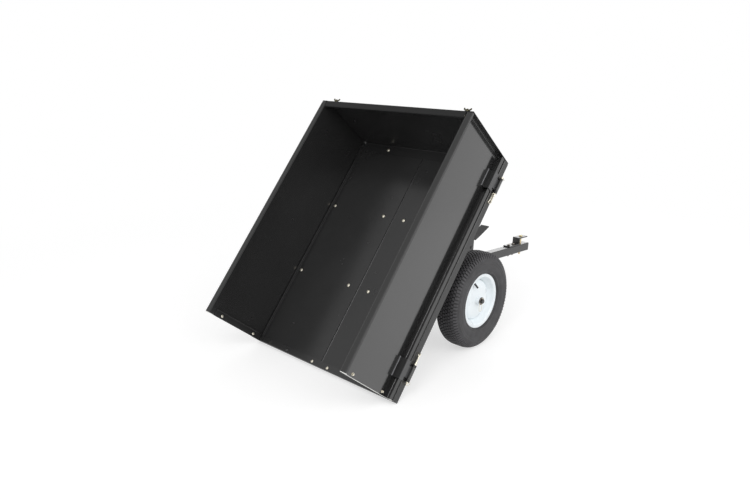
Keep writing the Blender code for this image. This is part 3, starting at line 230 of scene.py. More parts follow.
def feed(tree, value, socket):
    """Gives a socket what another one puts out, or a fixed value."""
    if isinstance(value, bpy.types.NodeSocket):
        tree.links.new(value, socket)
    elif socket.type == "RGBA":
        socket.default_value = rgba(value)
    else:
        socket.default_value = value


def add_node(tree, kind, inputs, **settings):
    """A node with its settings, whose inputs are fed by name or by number."""
    made = tree.nodes.new("ShaderNode" + kind)
    for name, value in settings.items():
        setattr(made, name, value)
    for key, value in inputs.items():
        feed(tree, value, made.inputs[key])
    return made


def add_math(tree, operation, *values):
    """The result of a sum on sockets or numbers."""
    return add_node(tree, "Math", dict(enumerate(values)), operation=operation).outputs[0]


def add_fade(tree, value, from_min, from_max, to_min, to_max, interpolation="LINEAR"):
    """Goes from one number to another while a value goes through a range."""
    inputs = {"Value": value, "From Min": from_min, "From Max": from_max, "To Min": to_min, "To Max": to_max}
    return add_node(tree, "MapRange", inputs, interpolation_type=interpolation).outputs["Result"]


def add_mix(tree, amount, first, second):
    """Blends two colours, whose sockets are the mix node's numbers 6 and 7."""
    inputs = {"Factor": amount, 6: first, 7: second}
    return add_node(tree, "Mix", inputs, data_type="RGBA").outputs[2]


# Materials
# The light grey of the painted highlight along the side panels' rear edges
PAINTED_EDGE_HIGHLIGHT = (0.74, 0.74, 0.71)


class Finish:
    """A principled material whose nodes are added one at a time."""

    def __init__(self, name, metallic=0.0, specular=0.5):
        self.made = bpy.data.materials.new(name)
        self.made.use_nodes = True
        self.tree = self.made.node_tree
        self.shader = self.tree.nodes["Principled BSDF"]
        self.shader.inputs["Metallic"].default_value = metallic
        self.shader.inputs["Specular IOR Level"].default_value = specular
        self.coords = self.tree.nodes.new("ShaderNodeTexCoord").outputs["Object"]

    def stretched(self, scale):
        return add_node(self.tree, "Mapping", {"Vector": self.coords, "Scale": scale}).outputs["Vector"]

    def noise(self, scale, detail=3.0, rough=0.5, vector=None, distortion=0.0):
        inputs = {"Vector": vector or self.coords, "Scale": scale, "Detail": detail, "Roughness": rough,
                  "Distortion": distortion}
        return add_node(self.tree, "TexNoise", inputs).outputs["Fac"]

    def ramp(self, source, *stops):
        """Turns a value into a colour that is given as (place, colour) stops."""
        made = add_node(self.tree, "ValToRGB", {"Fac": source})
        points = made.color_ramp.elements
        while len(points) < len(stops):
            points.new(1.0)
        for point, (place, colour) in zip(points, stops):
            point.position = place
            point.color = rgba(colour)
        return made.outputs["Color"]

    def mix(self, amount, first, second):
        return add_mix(self.tree, amount, first, second)

    def band(self, axis, middle, reach, solid=0.0):
        """One within a strip across an axis of the whole object, and nought a reach away from its middle."""
        along = add_node(self.tree, "VectorMath", {0: self.coords, 1: axis}, operation="DOT_PRODUCT")
        off = add_math(self.tree, "SUBTRACT", along.outputs["Value"], middle)
        return add_fade(self.tree, add_math(self.tree, "ABSOLUTE", off), solid, reach, 1.0, 0.0)

    def bump(self, height, strength, distance, under=None):
        inputs = {"Strength": strength, "Distance": distance, "Height": height}
        if under is not None:
            inputs["Normal"] = under
        return add_node(self.tree, "Bump", inputs).outputs["Normal"]

    def set(self, look):
        """Links the look, named by socket, to the shader."""
        for name, source in look.items():
            feed(self.tree, source, self.shader.inputs[name])
        return self.made


def floor_marks(made, look):
    """The seam along the floor's middle."""
    seam = made.band(ACROSS, 0.0, 0.0035, 0.0012)
    look["Normal"] = made.bump(seam, 1.0, 0.0012, look["Normal"])


def rim_dulling_and_shade(made, look):
    """Top edges with a rougher, duller gloss, and a painted shade that darkens their colour."""
    rim = made.band(TUB_UP, TUB_BASE + TUB_HEIGHT, 0.0032, 0.0024)
    look["Roughness"] = made.mix(rim, look["Roughness"], 0.55)
    # painted shade: the top edges' colour darkened to near black, standing in for their dim reflection
    look["Base Color"] = made.mix(rim, look["Base Color"], 0.006)
    return rim


def side_coat_shade_and_highlight(made, look):
    """A glossy coat on the sides' outer faces, dull top edges with painted shade, and a painted highlight
    along the rear edges.
    """
    rim = rim_dulling_and_shade(made, look)
    coat = 0.0
    for side in SIDES.values():
        face = made.band(ACROSS, side * PANEL_OUTSIDE, 0.0012, 0.0006)
        coat = made.mix(face, coat, 0.65)
        look["Roughness"] = made.mix(face, look["Roughness"], 0.16)
    made.shader.inputs["Coat Roughness"].default_value = 0.12
    look["Coat Weight"] = made.mix(rim, coat, 0.0)
    # painted highlight: a light grey band along the rear edges, where a rounded edge would catch light
    rear = made.band(TUB_ALONG, TUB_REAR, 0.0020, 0.0016)
    look["Base Color"] = made.mix(rear, look["Base Color"], PAINTED_EDGE_HIGHLIGHT)


def strap_highlights(made, look):
    """Painted highlights on a hinge strap's knuckle, along its top edge and on its plate."""
    # painted highlights: lighter bands on the knuckle, along the top edge and on the outer plate, standing in
    # for light caught by their bends and edges
    highlighted = made.mix(made.band(TUB_UP, TUB_BASE + HINGE_HEIGHT, 0.0065, 0.0055), look["Base Color"], 0.07)
    highlighted = made.mix(made.band(TUB_UP, TUB_BASE + STRAP_TOP, 0.0018, 0.0010), highlighted, (0.22, 0.22, 0.23))
    for side in SIDES.values():
        plate = made.band(ACROSS, side * STRAP_PLATE, 0.0022, 0.0016)
        highlighted = made.mix(plate, highlighted, (0.05, 0.05, 0.052))
    look["Base Color"] = highlighted


def powder_coat(name, specular=0.60, add_marks_and_light=None):
    """Semi-gloss black powder coat: fine orange peel, uneven gloss, a little dust and a few light scuffs."""
    made = Finish(name, specular=specular)
    patches = made.noise(5.0, 4.0)
    peel = made.noise(520.0, 2.0)
    scuffs = made.ramp(made.noise(34.0, 6.0, 0.7, made.stretched((1.0, 0.25, 1.6)), 0.6),
                       (0.66, 0.0), (0.74, 1.0))
    base = made.ramp(patches, (0.25, (0.0185, 0.0185, 0.0187)), (0.75, (0.0235, 0.0234, 0.0235)))
    look = {"Base Color": made.mix(scuffs, base, (0.030, 0.0295, 0.029)),
            "Roughness": made.ramp(made.noise(11.0, 5.0, 0.6), (0.3, 0.20), (0.7, 0.28)),
            "Normal": made.bump(patches, 0.06, 0.004, made.bump(peel, 0.08, 0.0003))}
    # what is added here: the floor seam, and painted shade and painted highlights on the rims, side edges and
    # straps
    if add_marks_and_light is not None:
        add_marks_and_light(made, look)
    return made.set(look)


def white_enamel():
    """White enamel with a faint blue cast and specks of dust."""
    made = Finish("enamel_white")
    colour = made.ramp(made.noise(9.0), (0.3, (0.84, 0.89, 0.92)), (0.7, (0.87, 0.92, 0.94)))
    specks = made.ramp(made.noise(420.0, 3.0, 0.7), (0.70, 0.0), (0.78, 1.0))
    return made.set({"Base Color": made.mix(specks, colour, (0.68, 0.71, 0.72)),
                     "Roughness": made.ramp(made.noise(22.0, 4.0), (0.3, 0.24), (0.7, 0.36)),
                     "Normal": made.bump(made.noise(260.0, 2.0), 0.06, 0.0003)})


def plated(name, light, dark):
    """Plated steel, with a cloudy colour and fine drawn marks."""
    made = Finish(name, metallic=1.0)
    return made.set({"Base Color": made.ramp(made.noise(120.0, 4.0, 0.6), (0.3, dark), (0.7, light)),
                     "Roughness": made.ramp(made.noise(160.0, 4.0, 0.6), (0.3, 0.24), (0.7, 0.42)),
                     "Normal": made.bump(made.noise(900.0, 2.0), 0.10, 0.0002)})


def yellow_plated():
    """Yellow zinc: gold that drifts towards green and rose."""
    made = Finish("yellow_zinc_plate", metallic=1.0)
    drift = made.ramp(made.noise(90.0), (0.28, (0.50, 0.49, 0.31)), (0.5, (0.66, 0.57, 0.34)),
                      (0.72, (0.64, 0.49, 0.35)))
    return made.set({"Base Color": drift,
                     "Roughness": made.ramp(made.noise(200.0, 4.0), (0.3, 0.22), (0.7, 0.38)),
                     "Normal": made.bump(made.noise(800.0, 2.0), 0.10, 0.0002)})


def tyre_rubber(name, grey):
    """Black rubber, greyed with mould bloom and dust."""
    made = Finish(name, specular=0.45)
    # grey scales the colour; above 1 it lightens the tread blocks as a painted highlight on their tops
    colour = made.ramp(made.noise(14.0, 5.0, 0.6), (0.3, (0.032 * grey, 0.031 * grey, 0.033 * grey)),
                       (0.7, (0.047 * grey, 0.046 * grey, 0.049 * grey)))
    dust = made.ramp(made.noise(130.0, 5.0, 0.7), (0.60, 0.0), (0.75, 0.6))
    return made.set({"Base Color": made.mix(dust, colour, (0.085, 0.083, 0.080)),
                     "Roughness": made.ramp(made.noise(40.0), (0.3, 0.52), (0.7, 0.68)),
                     "Normal": made.bump(made.noise(700.0), 0.2, 0.0003)})


def moulded(name, dark, light, rough):
    """Plain moulded rubber or plastic."""
    made = Finish(name)
    gloss = made.ramp(made.noise(90.0), (0.3, rough - 0.08), (0.7, rough + 0.06))
    return made.set({"Base Color": made.ramp(made.noise(60.0, 4.0), (0.3, dark), (0.7, light)),
                     "Roughness": gloss,
                     "Normal": made.bump(made.noise(1200.0, 2.0), 0.15, 0.0002)})


BLACK = powder_coat("powder_coat_black")
SIDE_BLACK = powder_coat("powder_coat_side", 0.70, side_coat_shade_and_highlight)
FRONT_BLACK = powder_coat("powder_coat_front", 0.34, rim_dulling_and_shade)
FLOOR_BLACK = powder_coat("powder_coat_floor", 0.52, floor_marks)
STRAP_BLACK = powder_coat("powder_coat_strap", add_marks_and_light=strap_highlights)
WHITE = white_enamel()
ZINC = plated("zinc_plate", (0.84, 0.80, 0.68), (0.66, 0.62, 0.52))
DARK_ZINC = plated("zinc_aged", (0.34, 0.31, 0.28), (0.20, 0.18, 0.16))
# The wing nuts' zinc: a dull olive, darkened far below the other zinc as painted shade on ears that face away
# from the light
SHADED_OLIVE_ZINC = plated("zinc_olive_painted_shade", (0.13, 0.12, 0.075), (0.07, 0.065, 0.042))
YELLOW = yellow_plated()
RUBBER = tyre_rubber("rubber_tyre", 1.0)
# The tread blocks' rubber 1.65 times lighter than the carcass: a painted highlight on the block tops
TREAD = tyre_rubber("rubber_tread", 1.65)
VALVE = moulded("rubber_valve", (0.030, 0.030, 0.032), (0.050, 0.050, 0.052), 0.55)
PLASTIC = moulded("plastic_black", (0.022, 0.022, 0.023), (0.034, 0.034, 0.035), 0.48)
SLOT_FINISH = {"black_steel": BLACK, "white_steel": WHITE, "zinc": ZINC, "yellow_zinc": YELLOW,
               "tyre_rubber": RUBBER, "valve_rubber": VALVE, "black_plastic": PLASTIC}

# Finishes made for a place, by a node's name without its last word
PLACE_FINISH = {"side_panel": SIDE_BLACK, "front": FRONT_BLACK, "floor": FLOOR_BLACK,
                "hinge_strap_rear": STRAP_BLACK, "hinge_strap_front": STRAP_BLACK}


def finish_solids():
    """Gives every solid the finish made for its place, or else that of its slot."""
    for entry in frame["record"]["subparts"]:
        kind = entry["node"].rsplit("_", 1)[0]
        mesh = frame["nodes"][entry["node"]].data
        mesh.materials.clear()
        mesh.materials.append(PLACE_FINISH.get(kind, SLOT_FINISH[entry["material_slot"]]))


# Mesh helpers
def add_piece(bm, name, slot, body, sharp=35.0, replaced=(), edge=0.0, finish=None):
    """Turns a mesh that is drawn in place into a piece that rides on a body."""
    bmesh.ops.remove_doubles(bm, verts=bm.verts, dist=1e-6)
    bmesh.ops.recalc_face_normals(bm, faces=bm.faces)
    mesh = bpy.data.meshes.new(name)
    bm.to_mesh(mesh)
    bm.free()
    mesh.materials.append(finish or SLOT_FINISH[slot])
    mesh.shade_smooth()
    mesh.set_sharp_from_angle(angle=math.radians(sharp))
    made = bpy.data.objects.new(name, mesh)
    bpy.context.scene.collection.objects.link(made)
    if edge > 0.0:
        rounding = made.modifiers.new("edges", "BEVEL")
        rounding.width = edge
        rounding.segments = 2
        rounding.limit_method = "ANGLE"
        rounding.angle_limit = math.radians(40)
        rounding.harden_normals = True
    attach(made, body)
    if replaced:
        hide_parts(*replaced)
    return made


def axis_frame(place, axis, turn=0.0):
    """A matrix that lays Z along an axis at a place."""
    lay = Vector(UP).rotation_difference(Vector(axis)).to_matrix().to_4x4()
    return Matrix.Translation(place) @ lay @ Matrix.Rotation(turn, 4, "Z")


def raised(matrix, height):
    """The matrix moved along its own Z."""
    return matrix @ Matrix.Translation((0.0, 0.0, height))


def turns(steps):
    """Even angles round a circle."""
    return [2 * math.pi * index / steps for index in range(steps)]


def turned(bm, matrix, radius, angle, height):
    """A vertex at a radius, an angle and a height about the matrix's Z."""
    return bm.verts.new(matrix @ Vector((radius * math.cos(angle), radius * math.sin(angle), height)))


def bridge(bm, first, second):
    """Faces between two rings of vertices, either of which may be a single point."""
    steps = max(len(first), len(second))
    for index in range(steps):
        after = (index + 1) % steps
        corners = [first[index % len(first)], first[after % len(first)],
                   second[after % len(second)], second[index % len(second)]]
        corners = [vert for place, vert in enumerate(corners) if vert not in corners[:place]]
        if len(corners) > 2:
            bm.faces.new(corners)


def lathe(bm, profile, matrix, steps=48, closed=False):
    """Spins (radius, height) points about the matrix's Z."""
    rings = []
    for radius, height in profile:
        angles = turns(steps) if radius > 0.0 else (0.0,)
        rings.append([turned(bm, matrix, radius, angle, height) for angle in angles])
    if closed:
        rings.append(rings[0])
    for first, second in zip(rings, rings[1:]):
        bridge(bm, first, second)


def rounded(points, radius, steps=4):
    """Rounds the inner corners of an open line of (x, y) points."""
    line = [Vector(points[0])]
    for before, corner, after in zip(points, points[1:], points[2:]):
        corner = Vector(corner)
        back = Vector(before) - corner
        ahead = Vector(after) - corner
        reach = min(radius, back.length * 0.45, ahead.length * 0.45)
        start = corner + back.normalized() * reach
        end = corner + ahead.normalized() * reach
        for index in range(steps + 1):
            share = index / steps
            line.append(start.lerp(corner, share).lerp(corner.lerp(end, share), share))
    line.append(Vector(points[-1]))
    return line


def section(line, sheet):
    """The closed outline of a sheet whose middle follows an open line."""
    sides = ([], [])
    for index, point in enumerate(line):
        way = (line[min(index + 1, len(line) - 1)] - line[max(index - 1, 0)]).normalized()
        across = Vector((-way.y, way.x)) * sheet / 2
        sides[0].append(point + across)
        sides[1].append(point - across)
    return [tuple(point) for point in sides[0] + sides[1][::-1]]


def mirrored(half):
    """A (radius, offset) outline and its mirror image across the wheel's middle."""
    return half + [(radius, -offset) for radius, offset in reversed(half)]


def curve_through(points, steps=6):
    """A smooth line through every one of the given points."""
    points = [Vector(point) for point in points]
    ends = [points[0]] + points + [points[-1]]
    line = []
    for first, second, third, fourth in zip(ends, ends[1:], ends[2:], ends[3:]):
        slope = third - first
        bend = 2 * first - 5 * second + 4 * third - fourth
        twist = 3 * second - first - 3 * third + fourth
        for index in range(steps):
            t = index / steps
            line.append(0.5 * (2 * second + slope * t + bend * t * t + twist * t ** 3))
    line.append(points[-1])
    return line


def wire(bm, points, radius, sides=10):
    """Sweeps a circle along a line of points, drawn in and closed at both ends."""
    last = len(points) - 1
    ways = [(points[min(index + 1, last)] - points[max(index - 1, 0)]).normalized()
            for index in range(len(points))]
    across = ways[0].orthogonal().normalized()
    rings = []
    for index, (point, way) in enumerate(zip(points, ways)):
        across = (across - way * across.dot(way)).normalized()
        other = way.cross(across)
        size = radius * (0.6 if index in (0, last) else 1.0)
        rings.append([bm.verts.new(point + size * (math.cos(angle) * across + math.sin(angle) * other))
                      for angle in turns(sides)])
    for first, second in zip(rings, rings[1:]):
        bridge(bm, first, second)
    bm.faces.new(rings[0][::-1])
    bm.faces.new(rings[-1])


def prism(bm, corners, reach):
    """A solid swept from a flat outline."""
    low = [bm.verts.new(Vector(corner)) for corner in corners]
    high = [bm.verts.new(Vector(corner) + Vector(reach)) for corner in corners]
    bm.faces.new(low)
    bm.faces.new(high[::-1])
    bridge(bm, low, high)


# Fasteners
def dome(bm, matrix, size):
    """The low round head of a carriage bolt."""
    radius, height = size
    lathe(bm, [(radius - 0.0003, -0.0002), (radius, 0.0006), (radius * 0.97, height * 0.36),
               (radius * 0.84, height * 0.64), (radius * 0.62, height * 0.85),
               (radius * 0.34, height * 0.96), (0.0, height)], matrix, 24)


def hexagon(bm, matrix, radius, height, bore=0.0):
    """A hexagon head or nut with its corners turned off at the top, and a nut's bore as a shallow dip."""
    steps = turns(48)
    sixth = math.pi / 3
    flat = radius * math.cos(sixth / 2)
    rings = []
    for level, limit in ((0.0, radius), (height - 0.0012, radius), (height, flat * 0.98)):
        ring = []
        for angle in steps:
            reach = flat / math.cos((angle + sixth / 2) % sixth - sixth / 2)
            ring.append(turned(bm, matrix, min(reach, limit), angle, level))
        rings.append(ring)
    if bore > 0.0:
        rings.append([turned(bm, matrix, bore, angle, height - 0.0008) for angle in steps])
    for low, high in zip(rings, rings[1:]):
        bridge(bm, low, high)
    bm.faces.new(rings[0][::-1])
    bm.faces.new(rings[-1])


def threads(bm, matrix, radius, length, pitch):
    """A threaded length with a chamfered tip, as rings at the thread's pitch."""
    root = radius * 0.86
    profile = [(root, 0.0)]
    place = 0.0
    while place + pitch < length:
        profile += [(radius, place + pitch * 0.5), (root, place + pitch)]
        place += pitch
    profile += [(radius * 0.7, length), (0.0, length)]
    lathe(bm, profile, matrix, 20)


def washer(bm, matrix, outer, inner, thick):
    """A flat washer with its outer edges broken."""
    lathe(bm, [(inner, 0.0), (outer - 0.0003, 0.0), (outer, 0.0003), (outer, thick - 0.0003),
               (outer - 0.0003, thick), (inner, thick)], matrix, 36, closed=True)


def head(bm, matrix, washer_size, head_size):
    """A washer and a bolt's hexagon head on it."""
    washer(bm, matrix, *washer_size)
    hexagon(bm, raised(matrix, washer_size[2]), *head_size)


def nut(bm, matrix, sizes):
    """A washer, its nut and the thread that stands out of the nut."""
    washer_size, nut_size, thread_start, thread_size = sizes
    washer(bm, matrix, *washer_size)
    hexagon(bm, raised(matrix, washer_size[2]), *nut_size)
    threads(bm, raised(matrix, thread_start), *thread_size)


def spring_clip(bm, matrix, pin_radius, coil, hang, wire_radius):
    """A wire clip in the X-Z plane: a straight leg through the pin, a coil that hangs below it, and a leg
    that comes back up and bends round the pin."""
    out = pin_radius + wire_radius
    low = -pin_radius - hang
    line = [Vector((0.0, 0.0, pin_radius + 0.004)), Vector((0.0, 0.0, 0.0)), Vector((0.0, 0.0, low))]
    middle = Vector((coil * 0.75, 0.0, low - coil * 1.05))
    for index in range(11):
        angle = math.radians(160 + 26 * index)
        drift = wire_radius * 0.22 * index
        line.append(middle + Vector((coil * math.cos(angle), drift, coil * math.sin(angle))))
    line += [Vector((out * 0.62, wire_radius * 2.3, low * 0.75)),
             Vector((out * 0.85, wire_radius * 2.0, -pin_radius - 0.0022)),
             Vector((out * 1.12, wire_radius * 1.6, -pin_radius * 0.30)),
             Vector((out * 0.98, wire_radius * 1.2, pin_radius * 0.45)),
             Vector((out * 0.72, wire_radius, pin_radius * 0.95)),
             Vector((out * 1.05, wire_radius, pin_radius + 0.0045))]
    wire(bm, [matrix @ point for point in curve_through(line, 4)], wire_radius)


def round_bead(radius, height, size, steps):
    """The closed profile of a round bead or wire, for the lathe."""
    return [(radius + size * math.cos(angle), height + size * math.sin(angle)) for angle in turns(steps)]


# Tub pieces
def build_floor_bolts():
    """Carriage bolts through the floor into the cross members, with their nuts below."""
    bm = bmesh.new()
    for x in BEAM_FROM_REAR:
        for y in FLOOR_BOLTS_ACROSS:
            dome(bm, TUB @ Matrix.Translation((x, y, FLOOR_TOP)), FLOOR_HEAD)
            nut(bm, TUB @ axis_frame((x, y, FLOOR_NUT_SEAT), DOWN), FLOOR_NUT)
    add_piece(bm, "floor_bolts", "zinc", "tub")


def build_sill_bolts():
    """Small bolts through the sill: the middle two are plated, the outer two black."""
    for name, (slot, spread) in SILL_BOLTS.items():
        bm = bmesh.new()
        for y in (-spread, spread):
            dome(bm, TUB @ Matrix.Translation((SILL_BOLT_FROM_REAR, y, SILL_TOP)), SMALL_HEAD)
            under = TUB @ axis_frame((SILL_BOLT_FROM_REAR, y, FLOOR_UNDER), DOWN)
            hexagon(bm, under, *SILL_NUT)
            threads(bm, raised(under, SILL_THREAD_START), *SILL_THREAD)
        add_piece(bm, "sill_bolts_" + name, slot, "tub")


def build_leg_bolts(side_name, side):
    """Bolts that hang an axle leg's flange from the two cross members."""
    bm = bmesh.new()
    y = side * LEG_BOLT_Y
    for x in LEG_BOLTS_FROM_REAR:
        hexagon(bm, TUB @ Matrix.Translation((x, y, BEAM_UNDER + BEAM_SHEET)), *LEG_HEX)
        nut(bm, TUB @ axis_frame((x, y, BEAM_UNDER - GAP - LEG_SHEET), DOWN), LEG_NUT)
    add_piece(bm, "leg_bolts_" + side_name, "zinc", "tub")


def build_front_bolt(side_name, side):
    """The carriage bolt through the front panel's foot and the floor."""
    bm = bmesh.new()
    place = (TUB_LENGTH - FOOT_BOLT_FROM_FRONT, side * FOOT_BOLT_Y)
    dome(bm, TUB @ Matrix.Translation((*place, FLOOR_TOP + SHEET + 2 * GAP)), FLOOR_HEAD)
    nut(bm, TUB @ axis_frame((*place, FLOOR_UNDER - GAP), DOWN), FLOOR_NUT)
    add_piece(bm, "front_foot_bolt_" + side_name, "zinc", "tub", replaced=("front_bolt_" + side_name,))


def build_clamp_bolt(side_name, side):
    """The threaded bolt that the wing nut runs on, with its head inside the side's slotted tab."""
    bm = bmesh.new()
    place = (side * CLAMP_Y, CLAMP_HEIGHT)
    dome(bm, TUB @ axis_frame((CLAMP_X - 3 * GAP, *place), BACK), CLAMP_HEAD)
    threads(bm, TUB @ axis_frame((CLAMP_X, *place), ALONG), *CLAMP_THREAD)
    add_piece(bm, "clamp_stud_" + side_name, "zinc", "tub", replaced=("clamp_bolt_" + side_name,))


def build_wing_nut(side_name, side):
    """A loosened wing nut: a tapered boss with two swept ears."""
    matrix = TUB @ axis_frame((TUB_LENGTH + WING_NUT_SLACK, side * CLAMP_Y, CLAMP_HEIGHT), ALONG)
    bm = bmesh.new()
    lathe(bm, [(0.0034, 0.0), (0.0066, 0.0), (0.0069, 0.0006), (0.0064, 0.0050), (0.0052, 0.0086),
               (0.0048, 0.0092), (0.0034, 0.0092)], matrix, 32, closed=True)
    outline = [(0.0030, 0.0012), (0.0080, 0.0020), (0.0115, 0.0052), (0.0150, 0.0075), (0.0172, 0.0112),
               (0.0166, 0.0148), (0.0138, 0.0158), (0.0112, 0.0128), (0.0084, 0.0098), (0.0048, 0.0082)]
    line = curve_through(outline + outline[:1], 4)[:-1]
    ear_half = 0.0016
    for way in (-1, 1):
        corners = [matrix @ Vector((-ear_half, way * point.x, point.y)) for point in line]
        prism(bm, corners, matrix.to_3x3() @ Vector((2 * ear_half, 0.0, 0.0)))
    add_piece(bm, "wing_nut_cast_" + side_name, "yellow_zinc", "wing_nut_" + side_name, 40.0,
              ("wing_nut_" + side_name,), edge=0.0005, finish=SHADED_OLIVE_ZINC)


def build_guide_bolts(side_name, side):
    """Two bolts through each tailgate guide, with their nuts on the outside of the panel."""
    bm = bmesh.new()
    x = GUIDE_BOLT_FROM_REAR
    for z in GUIDE_BOLT_LEVELS:
        dome(bm, TUB @ axis_frame((x, side * GUIDE_FACE, z), (0, -side, 0)), SMALL_HEAD)
        nut(bm, TUB @ axis_frame((x, side * PANEL_OUTSIDE, z), (0, side, 0), 0.3), GUIDE_NUT)
    add_piece(bm, "guide_bolts_" + side_name, "zinc", "side_" + side_name)


def build_hinge_pin(end, side_name, side):
    """A hinge pin with a pull ring through its head and a spring clip laid along its tail."""
    x, way = HINGES[end]
    name = end + "_" + side_name
    bm = bmesh.new()
    length = 2 * HINGE_HALF
    lathe(bm, [(0.0, -0.0130), (0.0028, -0.0130), (HINGE_PIN_RADIUS, -0.0115), (HINGE_PIN_RADIUS, length),
               (0.0062, length), (0.0066, length + 0.0005), (0.0066, length + 0.0024),
               (0.0056, length + 0.0034), (0.0030, length + 0.0040), (0.0030, length + 0.0085),
               (0.0, length + 0.0090)],
          TUB @ axis_frame((x - way * HINGE_HALF, side * HINGE_Y, HINGE_HEIGHT), (way, 0, 0)), 32)
    tail = TUB @ Matrix.Translation((x - way * (HINGE_HALF + 0.0045), side * HINGE_Y, HINGE_HEIGHT))
    lay = Matrix(((0, 0, way, 0), (-side, 0, 0, 0), (0, -side * way, 0, 0), (0, 0, 0, 1)))
    spring_clip(bm, tail @ lay, HINGE_PIN_RADIUS, 0.0050, 0.027, 0.0022)
    ring_place = (x + way * (HINGE_HALF + 0.0050), side * (HINGE_Y + 0.0020), HINGE_HEIGHT - 0.0065)
    lathe(bm, round_bead(0.0080, 0.0, 0.0009, 8),
          TUB @ axis_frame(ring_place, (way * 0.55, side * 0.83, 0.1)), 32, closed=True)
    add_piece(bm, "hinge_pin_clip_" + name, "yellow_zinc", "tub", replaced=("hinge_pin_" + name,),
              finish=ZINC)


def build_bracket_bolts(end, side_name, side):
    """The two bolts of a hinge bracket, with their round heads under the floor's edge."""
    bm = bmesh.new()
    y = side * (HALF_WIDTH - BRACKET_BOLT_INSET)
    for way in (-1, 1):
        x = HINGES[end][0] + way * BRACKET_BOLT_INSET
        dome(bm, TUB @ axis_frame((x, y, BRACKET_UNDER), DOWN), SMALL_HEAD)
    add_piece(bm, "bracket_bolts_" + end + "_" + side_name, "zinc", "tub")


# Wheels
def wheel_frame(side):
    """Z points out of the wheel's outer face."""
    return axis_frame((AXLE.x, side * WHEEL_FROM_MIDDLE, AXLE.z), (0, side, 0))


def tread_level(offset):
    """The radius of the tread's surface at an offset from the tyre's middle."""
    offset = abs(offset)
    for (near, drop), (far, deeper) in zip(TREAD_DROP, TREAD_DROP[1:]):
        if offset <= far:
            return TYRE_RADIUS - drop - (deeper - drop) * (offset - near) / (far - near)
    return TYRE_RADIUS - TREAD_DROP[-1][1]


def tyre_outside():
    """The carcass from bead to bead as (radius, offset) points, at the grooves' depth under the tread."""
    half = [(tread_level(offset) - TREAD_DEPTH, offset)
            for offset in (0.0, 0.010, 0.020, 0.027, 0.034, 0.040, 0.045)]
    half += [(TYRE_RADIUS - drop, offset)
             for drop, offset in ((0.0235, 0.0492), (0.0300, 0.0517), (0.0345, 0.0532), (0.0375, 0.0522),
                                  (0.0440, 0.0528), (0.0475, 0.0521), (0.0560, 0.0523), (0.0640, 0.0513),
                                  (0.0720, 0.0490), (0.0775, 0.0474), (0.0805, 0.0482), (0.0828, 0.0460),
                                  (0.0862, 0.0402), (0.0885, 0.0376))]
    line = [tuple(point) for point in curve_through(half, 3)]
    return [(radius, -offset) for radius, offset in reversed(line[1:])] + line


def add_block(bm, matrix, offsets, angle, span):
    """One tread block: its top follows the tread's curve and its walls widen down to the carcass."""
    tops, bases = [], []
    for offset in offsets:
        level = tread_level(offset)
        middle = angle + TREAD_SKEW * abs(offset)
        for rows, grow, radius in ((tops, 0.0, level), (bases, 0.0007, level - TREAD_DEPTH - 0.0012)):
            half_turn = (span / 2 + grow) / TYRE_RADIUS
            rows.append([turned(bm, matrix, radius, middle + way * half_turn, offset) for way in (-1, 1)])
    for near in range(len(offsets) - 1):
        far = near + 1
        bm.faces.new((tops[near][0], tops[near][1], tops[far][1], tops[far][0]))
        for way in (0, 1):
            bm.faces.new((tops[near][way], tops[far][way], bases[far][way], bases[near][way]))
    for end in (0, -1):
        bm.faces.new((tops[end][0], tops[end][1], bases[end][1], bases[end][0]))


def build_tyre(side_name, side):
    """A carcass with smooth sidewalls and a tread of small blocks in staggered rows."""
    matrix = wheel_frame(side)
    inside = mirrored([(0.1060, -0.0362), (0.1020, -0.0350), (0.1020, -0.0215), (0.1080, -0.0225),
                       (0.1200, -0.0330), (0.1500, -0.0460), (0.1850, -0.0420), (0.1950, -0.0200)])
    bm = bmesh.new()
    lathe(bm, tyre_outside() + inside[::-1], matrix, 144, closed=True)
    add_piece(bm, "tyre_carcass_" + side_name, "tyre_rubber", "wheel_" + side_name, 40.0,
              ("tyre_" + side_name,))
    bm = bmesh.new()
    for index in range(TREAD_PITCHES):
        for offsets, span, phase in TREAD_ROWS:
            angle = 2 * math.pi * (index + phase) / TREAD_PITCHES
            add_block(bm, matrix, offsets, angle, span)
            if offsets[0] > 0.0:
                add_block(bm, matrix, [-offset for offset in offsets], angle, span)
    add_piece(bm, "tyre_tread_" + side_name, "tyre_rubber", "wheel_" + side_name, 25.0, finish=TREAD)


